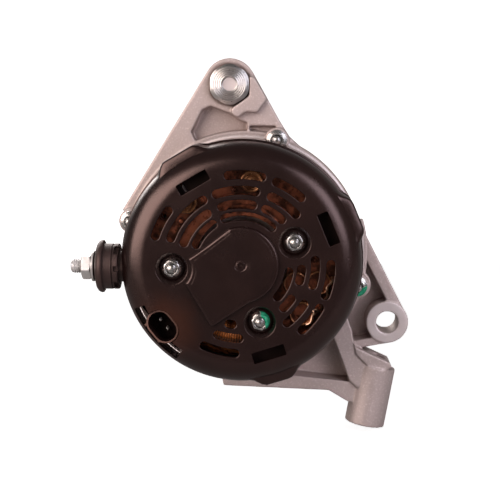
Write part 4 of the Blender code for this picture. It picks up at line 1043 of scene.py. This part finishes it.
def rotor():
    shaft = [(0, 147), (4.2, 147), (4.7, 146.5), (4.7, 126), (7.35, 126), (7.35, 112.6), (9.5, 112.6),
             (9.5, 58.4), (8.3, 58.4), (8.3, 16), (6.0, 15.6), (6.0, 15), (0, 15)]
    parts = [lathe("rotor_shaft", rounded(shaft, 0.3, 2, False), 64),
             thread("end", 6.9, 0.85, 1.5, 1.2, 15.8),
             lathe("tip", [(0, 0), (2.6, 0), (2.9, 0.5), (5.4, 0.3), (5.9, 1.4), (0, 1.6)], SMALL)]
    show(gather(parts), ["rotor_shaft"], [SHAFT_STEEL], "rotor")
    start = 37.6
    groove = [(28.0, 41), (28.0, start)]
    for i in range(RIBS):
        top = start - i * RIB_PITCH
        groove += [(25.7, top - 1.4), (25.4, top - 1.78), (25.7, top - 2.16)]
        if i < RIBS - 1:
            groove += [(27.2, top - 3.3), (27.5, top - 3.56), (27.2, top - 3.82)]
    groove += [(28.0, start - 21.66), (28.0, 9), (21.0, 9), (18.0, 16), (8.45, 16), (8.45, 43.7),
               (11.2, 43.7), (11.2, 37), (20.0, 33), (23.6, 37), (23.6, 41)]
    pulley = lathe("pulley", rounded(groove, 0.5, 2), 144)
    show(pulley, ["pulley"], [PULLEY_STEEL], "rotor", 40.0)
    nut = hex_nut("pulley_nut", (0.0, 0.0), 3.0, 15.7, 22.0, 7.05, 0.0, True)
    show(nut, ["pulley_nut"], [ZINC], "rotor")


# ---- rectifier and regulator

def heat_sink(inner, outer, z, first):
    """Pressed plate with holes, and room for its three diodes."""
    low, high = z
    plate = slab("plate", sector(inner, outer, *PLATE_ARC, 1.0), low, high, 0.3, 0.3)
    seats = [cylinder("seat", 6.3, low - 2, high + 3, polar(DIODE_CIRCLE, first + DIODE_STEP * i))
             for i in range(3)]
    holes = [cylinder("hole", 1.7, low - 2, high + 2, polar(r, a), 24)
             for r, a in ((28.5, 84), (28.5, 103), (29, 60), (48, 122), (49, 150), (36, 72), (50, -45))]
    return cut(plate, gather(seats + holes), cylinder("clear", 4.4, 120, 140, STUDS[0]))


def wavy(name, radius, start, end, z, thick, count, swing, turn, roll):
    """Round strip along an arc about the axis that swings to and fro and rises and falls on its way."""
    path = [(*polar(radius + swing * math.sin(math.radians(turn * k)), start + (end - start) * k / count),
             z + 0.5 * math.sin(math.radians(roll * k))) for k in range(count + 1)]
    return tube_along(name, path, thick, 8)


def leads(z):
    """Curved copper strips and soldered wire ends between the diodes."""
    made = []
    for radius, start, end, rise in ((35.0, 14, 60, 1.6), (35.0, 64, 112, 1.7), (35.5, 118, 160, 1.6),
                                     (52.0, 20, 44, 1.3), (51.5, 70, 98, 1.4), (52.0, 112, 160, 1.3),
                                     (29.0, 48, 100, 1.2), (52.0, -50, -24, 1.3), (36.0, -48, -10, 1.6)):
        made.append(wavy("lead", radius, start, end, z + rise, 1.1, 16, 1.2, 8, 24))
    for angle in (20, 72, 96, 122, 146, -30, 2):
        post = [(0, z + 3.4), (1.0, z + 3.2), (1.5, z + 2.2), (1.7, z + 0.2), (0, z + 0.2)]
        made.append(lathe("solder", post, 24, polar(39.5, angle)))
    return made


def diode(number, centre, z0, z1):
    """Press-fit diode: a cup with a rolled rim, a sealed centre and its lead."""
    cup = [(0, z1 - 0.9), (1.6, z1 - 0.9), (3.6, z1 - 1.3), (4.4, z1 - 0.9), (4.6, z1 - 0.2), (5.2, z1),
           (5.8, z1 - 0.2), (6.0, z1 - 0.8), (6.0, z0 + 0.4), (5.6, z0), (0, z0)]
    lead = cylinder("lead", 0.9, z1 - 1.0, z1 + 0.6, centre, 20, 0.3)
    ring = [(2.4, z1 - 0.7), (2.9, z1 - 0.4), (3.4, z1 - 0.8), (2.9, z1 - 1.3)]
    parts = [lathe("cup", cup, SMALL, centre), lathe("bead", ring, SMALL, centre), lead]
    show(gather(parts), [f"diode_{number}"], [DIODE_VARNISH])


def rectifier():
    lower = heat_sink(26.0, 58.0, NEGATIVE_Z, LOWER_DIODES)
    show(lower, ["rectifier_plate_negative"], [PLATE_VARNISH])
    upper = heat_sink(25.0, 56.0, POSITIVE_Z, UPPER_DIODES)
    lug = slab("lug", bar((-55.0, -1.8), 10.0, 20.8, 0.0, 0.8), 125.2, 137.0, 0.4, 0.4)
    cut(lug, along_x(cylinder("stud_room", 4.3, 40, 70)))
    strips = [wavy("strip", *course, 12, 0.9, 45, 30)
              for course in ((49.0, -44, -28, 138.0, 0.9), (47.6, -36, -31, 139.4, 0.7),
                             (49.3, -24, -9, 138.4, 0.8), (42.0, -29, -20, 137.6, 0.6),
                             (36.6, -34, -12, 137.2, 0.5), (41.2, 66, 76, 138.0, 0.5),
                             (36.4, 128, 150, 137.6, 0.5), (44.4, 146, 156, 138.0, 0.6))]
    ring = [(5.2, 136.0), (5.6, 137.4), (6.0, 137.6), (6.4, 137.4), (6.8, 136.0)]
    rims = [lathe("rim", ring, SMALL, polar(radius, angle))
            for radius, angle in ((43.5, -15.0), (43.0, -41.0), (31.5, -22.0))]
    finishes = [PLATE_VARNISH, BRIGHT_COPPER, DIODE_VARNISH]
    whole = gather([paint(gather([upper] + leads(POSITIVE_Z[1]) + [lug]), finishes, lambda c, n: 0),
                    paint(gather(strips), finishes, lambda c, n: 1),
                    paint(gather(rims), finishes, lambda c, n: 2)])
    show(whole, ["rectifier_plate_positive"], [])
    for i in range(3):
        diode(i + 1, polar(DIODE_CIRCLE, LOWER_DIODES + DIODE_STEP * i), 122.6, 131.4)
        diode(i + 4, polar(DIODE_CIRCLE, UPPER_DIODES + DIODE_STEP * i), 125.2, 137.4)


def voltage_regulator():
    block = bar(polar(48.5, CONNECTOR_ANGLE), 20.0, 31.0, CONNECTOR_ANGLE, 1.0)
    body = slab("regulator", block, 122.6, 134.0, 0.3, 0.5)
    join(body, slab("tower", stadium(CONNECTOR, 19.4, 14.1, SOCKET_TURN), 133.0, 148.4, high_edge=0.35))
    latch = [(60.9, 213.0), (60.9, 223.6)]
    posts = [slab("post", bar(polar(r, a), 1.6, 1.3, a, 0.3), 138, 146.6, high_edge=0.3) for r, a in latch]
    posts.append(slab("bridge", bar(polar(60.4, 218.3), 1.2, 12.6, 218.3, 0.3), 138, 145.6, high_edge=0.3))
    cut(body, slab("well", stadium(CONNECTOR, 17.4, 12.1, SOCKET_TURN), 135.0, 150.0))
    pins = []
    for side in (-1, 1):
        x, y = polar(side * 3.05, SOCKET_TURN)
        blade = bar((CONNECTOR[0] + x, CONNECTOR[1] + y), 1.6, 0.8, SOCKET_TURN)
        pins.append(loft("pin", [(blade, 134.0), (blade, 140.2), (inset(blade, 0.22), 141.0)]))
    # thin near-white strips beside the socket: painted highlight lines
    highlight_strips = [slab("highlight_strip", sector(58.7, 59.0, 203.3, 210.4), 146.9, 147.4),
               slab("highlight_strip", sector(58.0, 58.3, 227.1, 235.6), 146.9, 147.4)]

    def surface(centre, normal):
        """Painted shade: black below the socket's floor and on its inner wall, brown elsewhere."""
        offset = centre.xy - Vector(CONNECTOR)
        lengthways = abs(offset.dot(Vector(polar(1.0, SOCKET_TURN))))
        across = math.sqrt(max(0.0, offset.length_squared - lengthways ** 2))
        in_well = centre.z < SOCKET_RIM_Z and lengthways < 8.9 and across < 6.2
        return 1 if centre.z < SOCKET_FLOOR_Z or in_well else 0

    finishes = [BROWN_NYLON, SOCKET_PAINTED_SHADE, TIN_PAINTED_BRIGHT]
    whole = gather([paint(gather([body] + posts), finishes, surface),
                    paint(gather(pins + highlight_strips), finishes, lambda c, n: 2)])
    show(whole, ["voltage_regulator"], [])


# ---- output terminal

def terminal():
    stud_body = [(0, 92.9), (3.0, 92.9), (3.3, 92.6), (3.3, 49.6), (6.2, 49.6), (6.2, 45.8), (0, 45.8)]
    tip = lathe("tip", [(0, 93.7), (2.5, 93.7), (3.1, 93.2), (3.1, 92), (0, 92)], SMALL)
    parts = [lathe("stud", stud_body, SMALL), thread("ridge", 4.0, 0.68, 1.25, 50.0, 93.4), tip]
    show(along_x(gather(parts)), ["terminal_stud"], [ZINC_PAINTED_BRIGHT])
    shell = [(4.3, 80.4), (7.4, 80.4), (7.9, 80.1), (8.8, 79.7), (10.6, 79.4), (12.4, 78.9), (13.6, 78.1),
             (14.2, 77.2), (14.4, 76.3), (14.25, 75.6), (13.8, 75.3), (13.3, 75.7), (13.0, 76.1),
             (12.6, 75.9), (12.45, 75.2), (12.45, 70.5), (11.7, 70.3), (11.7, 69.8), (12.45, 69.6),
             (12.45, 67.3), (12.1, 66.9), (8.5, 66.9), (8.5, 60.3), (4.3, 60.3)]
    body = lathe("insulator", shell, 96)
    windows = []
    for angle, wide in ((0.0, 2.9), (52.0, 6.4), (-52.0, 6.4), (180.0, 6.0)):
        x, y = polar(12.2, angle)
        windows.append(slab("window", bar((x, y), 4.0, wide, angle, 0.3), 66.0, 69.2))
    cut(body, gather(windows))
    show(along_x(body), ["terminal_insulator"], [BLACK_NYLON])
    washer = rounded([(4.15, 82.0), (4.15, 80.7), (8.4, 80.7), (8.4, 82.0)], 0.25, 3)
    show(along_x(lathe("washer", washer, 64)), ["terminal_washer"], [ZINC_PAINTED_BRIGHT])
    nut = hex_nut("nut", (0.0, 0.0), 82.3, 87.6, 13.0, 4.15, -11.5, True)
    show(along_x(nut), ["terminal_nut"], [ZINC_PAINTED_BRIGHT])


# ---- CAD nodes that keep their shape

def keep_cad():
    """Finish for each node without a detailed piece, by the start of its name."""
    finishes = (("front_bearing", SHAFT_STEEL), ("rear_bearing", SHAFT_STEEL), ("bearing_retainer", ZINC),
                ("retainer_screw", ZINC), ("claw_pole", ROTOR_STEEL), ("fan", SHAFT_STEEL),
                ("coil_bobbin", BLACK_NYLON), ("field_coil", COPPER), ("slip_ring_sleeve", BLACK_NYLON),
                ("slip_ring", SLIP_COPPER), ("brush_holder", BLACK_NYLON), ("brush", CARBON))
    for name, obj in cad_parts.items():
        if obj.hide_render:
            continue
        obj.data.materials.clear()
        obj.data.materials.append(next(finish for start, finish in finishes if name.startswith(start)))
        edges = obj.modifiers.new("edges", "BEVEL")
        edges.width = 0.2 * MM
        edges.segments = 2
        edges.limit_method = "ANGLE"
        edges.angle_limit = math.radians(40)


def springs():
    """A coiled spring behind each brush."""
    for number, z in enumerate(BRUSH_Z, 1):
        path = []
        for k in range(SPRING_STEPS + 1):
            turn = math.tau * SPRING_TURNS * k / SPRING_STEPS
            x, y = polar(SPRING_START + SPRING_LENGTH * k / SPRING_STEPS, BRUSH_ANGLE)
            side = polar(SPRING_R * math.cos(turn), BRUSH_ANGLE + 90)
            path.append((x + side[0], y + side[1], z + SPRING_R * math.sin(turn)))
        coil = tube_along("spring", path, 0.25, 6)
        show(coil, [f"brush_spring_{number}"], [SHAFT_STEEL], sharp=60.0)
        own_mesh(coil)


# ---- studio

def lamp(name, place, size, power, colour, target=(0.0, -0.1, 0.0)):
    light = bpy.data.lights.new(name, "AREA")
    light.shape = "RECTANGLE"
    light.size, light.size_y = size
    light.energy = power
    light.color = colour
    obj = placed(name, light)
    obj.location = place
    obj.rotation_mode = "QUATERNION"
    obj.rotation_quaternion = (Vector(target) - Vector(place)).to_track_quat("-Z", "Y")
    return obj


def glowing(obj, name, colour, roughness, cloud, glow, strength):
    """Give a backdrop a clouded matt surface with some light of its own."""
    shader = Shader(name, colour, roughness)
    shader.tint(shader.noise(3.0), cloud)
    shader.set("Emission Color", (*glow, 1.0))
    shader.set("Emission Strength", strength)
    obj.data.materials.clear()
    obj.data.materials.append(shader.done())


def backdrops():
    """A pale sweep that only the camera sees and a grey one in its place for reflections."""
    floor_z = cad_box[0].z - FLOOR_GAP
    sweep = [(SWEEP_FRONT_Y, floor_z)]
    sweep += [(SWEEP_BACK_Y + polar(SWEEP_BEND, a)[0], floor_z + SWEEP_BEND + polar(SWEEP_BEND, a)[1])
              for a in range(-90, 1, 6)]
    sweep.append((SWEEP_BACK_Y + SWEEP_BEND, SWEEP_HIGH_Z))
    solid = bmesh.new()
    rows = [[solid.verts.new((x, y, z)) for x in (-SWEEP_HALF, SWEEP_HALF)] for y, z in sweep]
    for one, two in zip(rows, rows[1:]):
        solid.faces.new((one[0], one[1], two[1], two[0]))
    paper = to_object("paper_sweep", solid)
    paper.data.shade_smooth()
    walls = placed("grey_walls", paper.data.copy())
    paper.visible_glossy = False
    paper.visible_diffuse = False
    glowing(paper, "pale_paper", (0.93, 0.93, 0.93), 0.85, (0.95, 0.95, 0.95), (1.0, 1.0, 1.0), 0.9)
    walls.visible_camera = False
    walls.visible_diffuse = False
    walls.visible_transmission = False
    glowing(walls, "grey_walls", (0.3, 0.28, 0.275), 0.9, (0.32, 0.30, 0.295), (1.0, 0.94, 0.92), 0.15)


def studio():
    lamp("key_left", (-0.86, -0.93, 0.35), (1.2, 0.9), 16.0, (1.0, 0.84, 0.77))
    lamp("fill_right", (0.80, -0.95, 0.45), (0.6, 0.8), 5.0, (0.93, 0.89, 1.0))
    overhead = lamp("overhead", (0.2, -0.80, 1.0), (0.9, 0.6), 7.5, (1.0, 0.95, 0.94))
    overhead.visible_glossy = False
    low_right = lamp("low_right", (0.36, -0.50, -0.03), (0.3, 0.2), 1.4, (1.0, 0.88, 0.92),
                     (0.08, -0.07, -0.07))
    low_right.visible_glossy = False
    pulley_side = lamp("pulley_side", (-0.45, 0.62, 0.50), (0.7, 0.6), 6.0, (1.0, 0.96, 0.94))
    pulley_side.visible_camera = False

    world = bpy.data.worlds.new("studio_room")
    world.use_nodes = True
    background = world.node_tree.nodes["Background"]
    background.inputs["Color"].default_value = (0.9, 0.84, 0.82, 1.0)
    background.inputs["Strength"].default_value = 0.12
    bpy.context.scene.world = world
    bpy.context.scene.view_settings.view_transform = "Standard"

    data = bpy.data.cameras.new("camera")
    data.sensor_width = SENSOR_WIDTH
    data.lens = LENS
    camera = placed("camera", data)
    camera.location = CAMERA_PLACE
    camera.rotation_euler = (math.radians(90 - CAMERA_DOWN), 0.0, math.radians(CAMERA_YAW))
    bpy.context.scene.camera = camera


rear_cover()
fixings()
captive_nut()
rear_end_frame()
drive_end_frame()
stator()
rotor()
rectifier()
voltage_regulator()
terminal()
springs()
keep_cad()
backdrops()
studio()
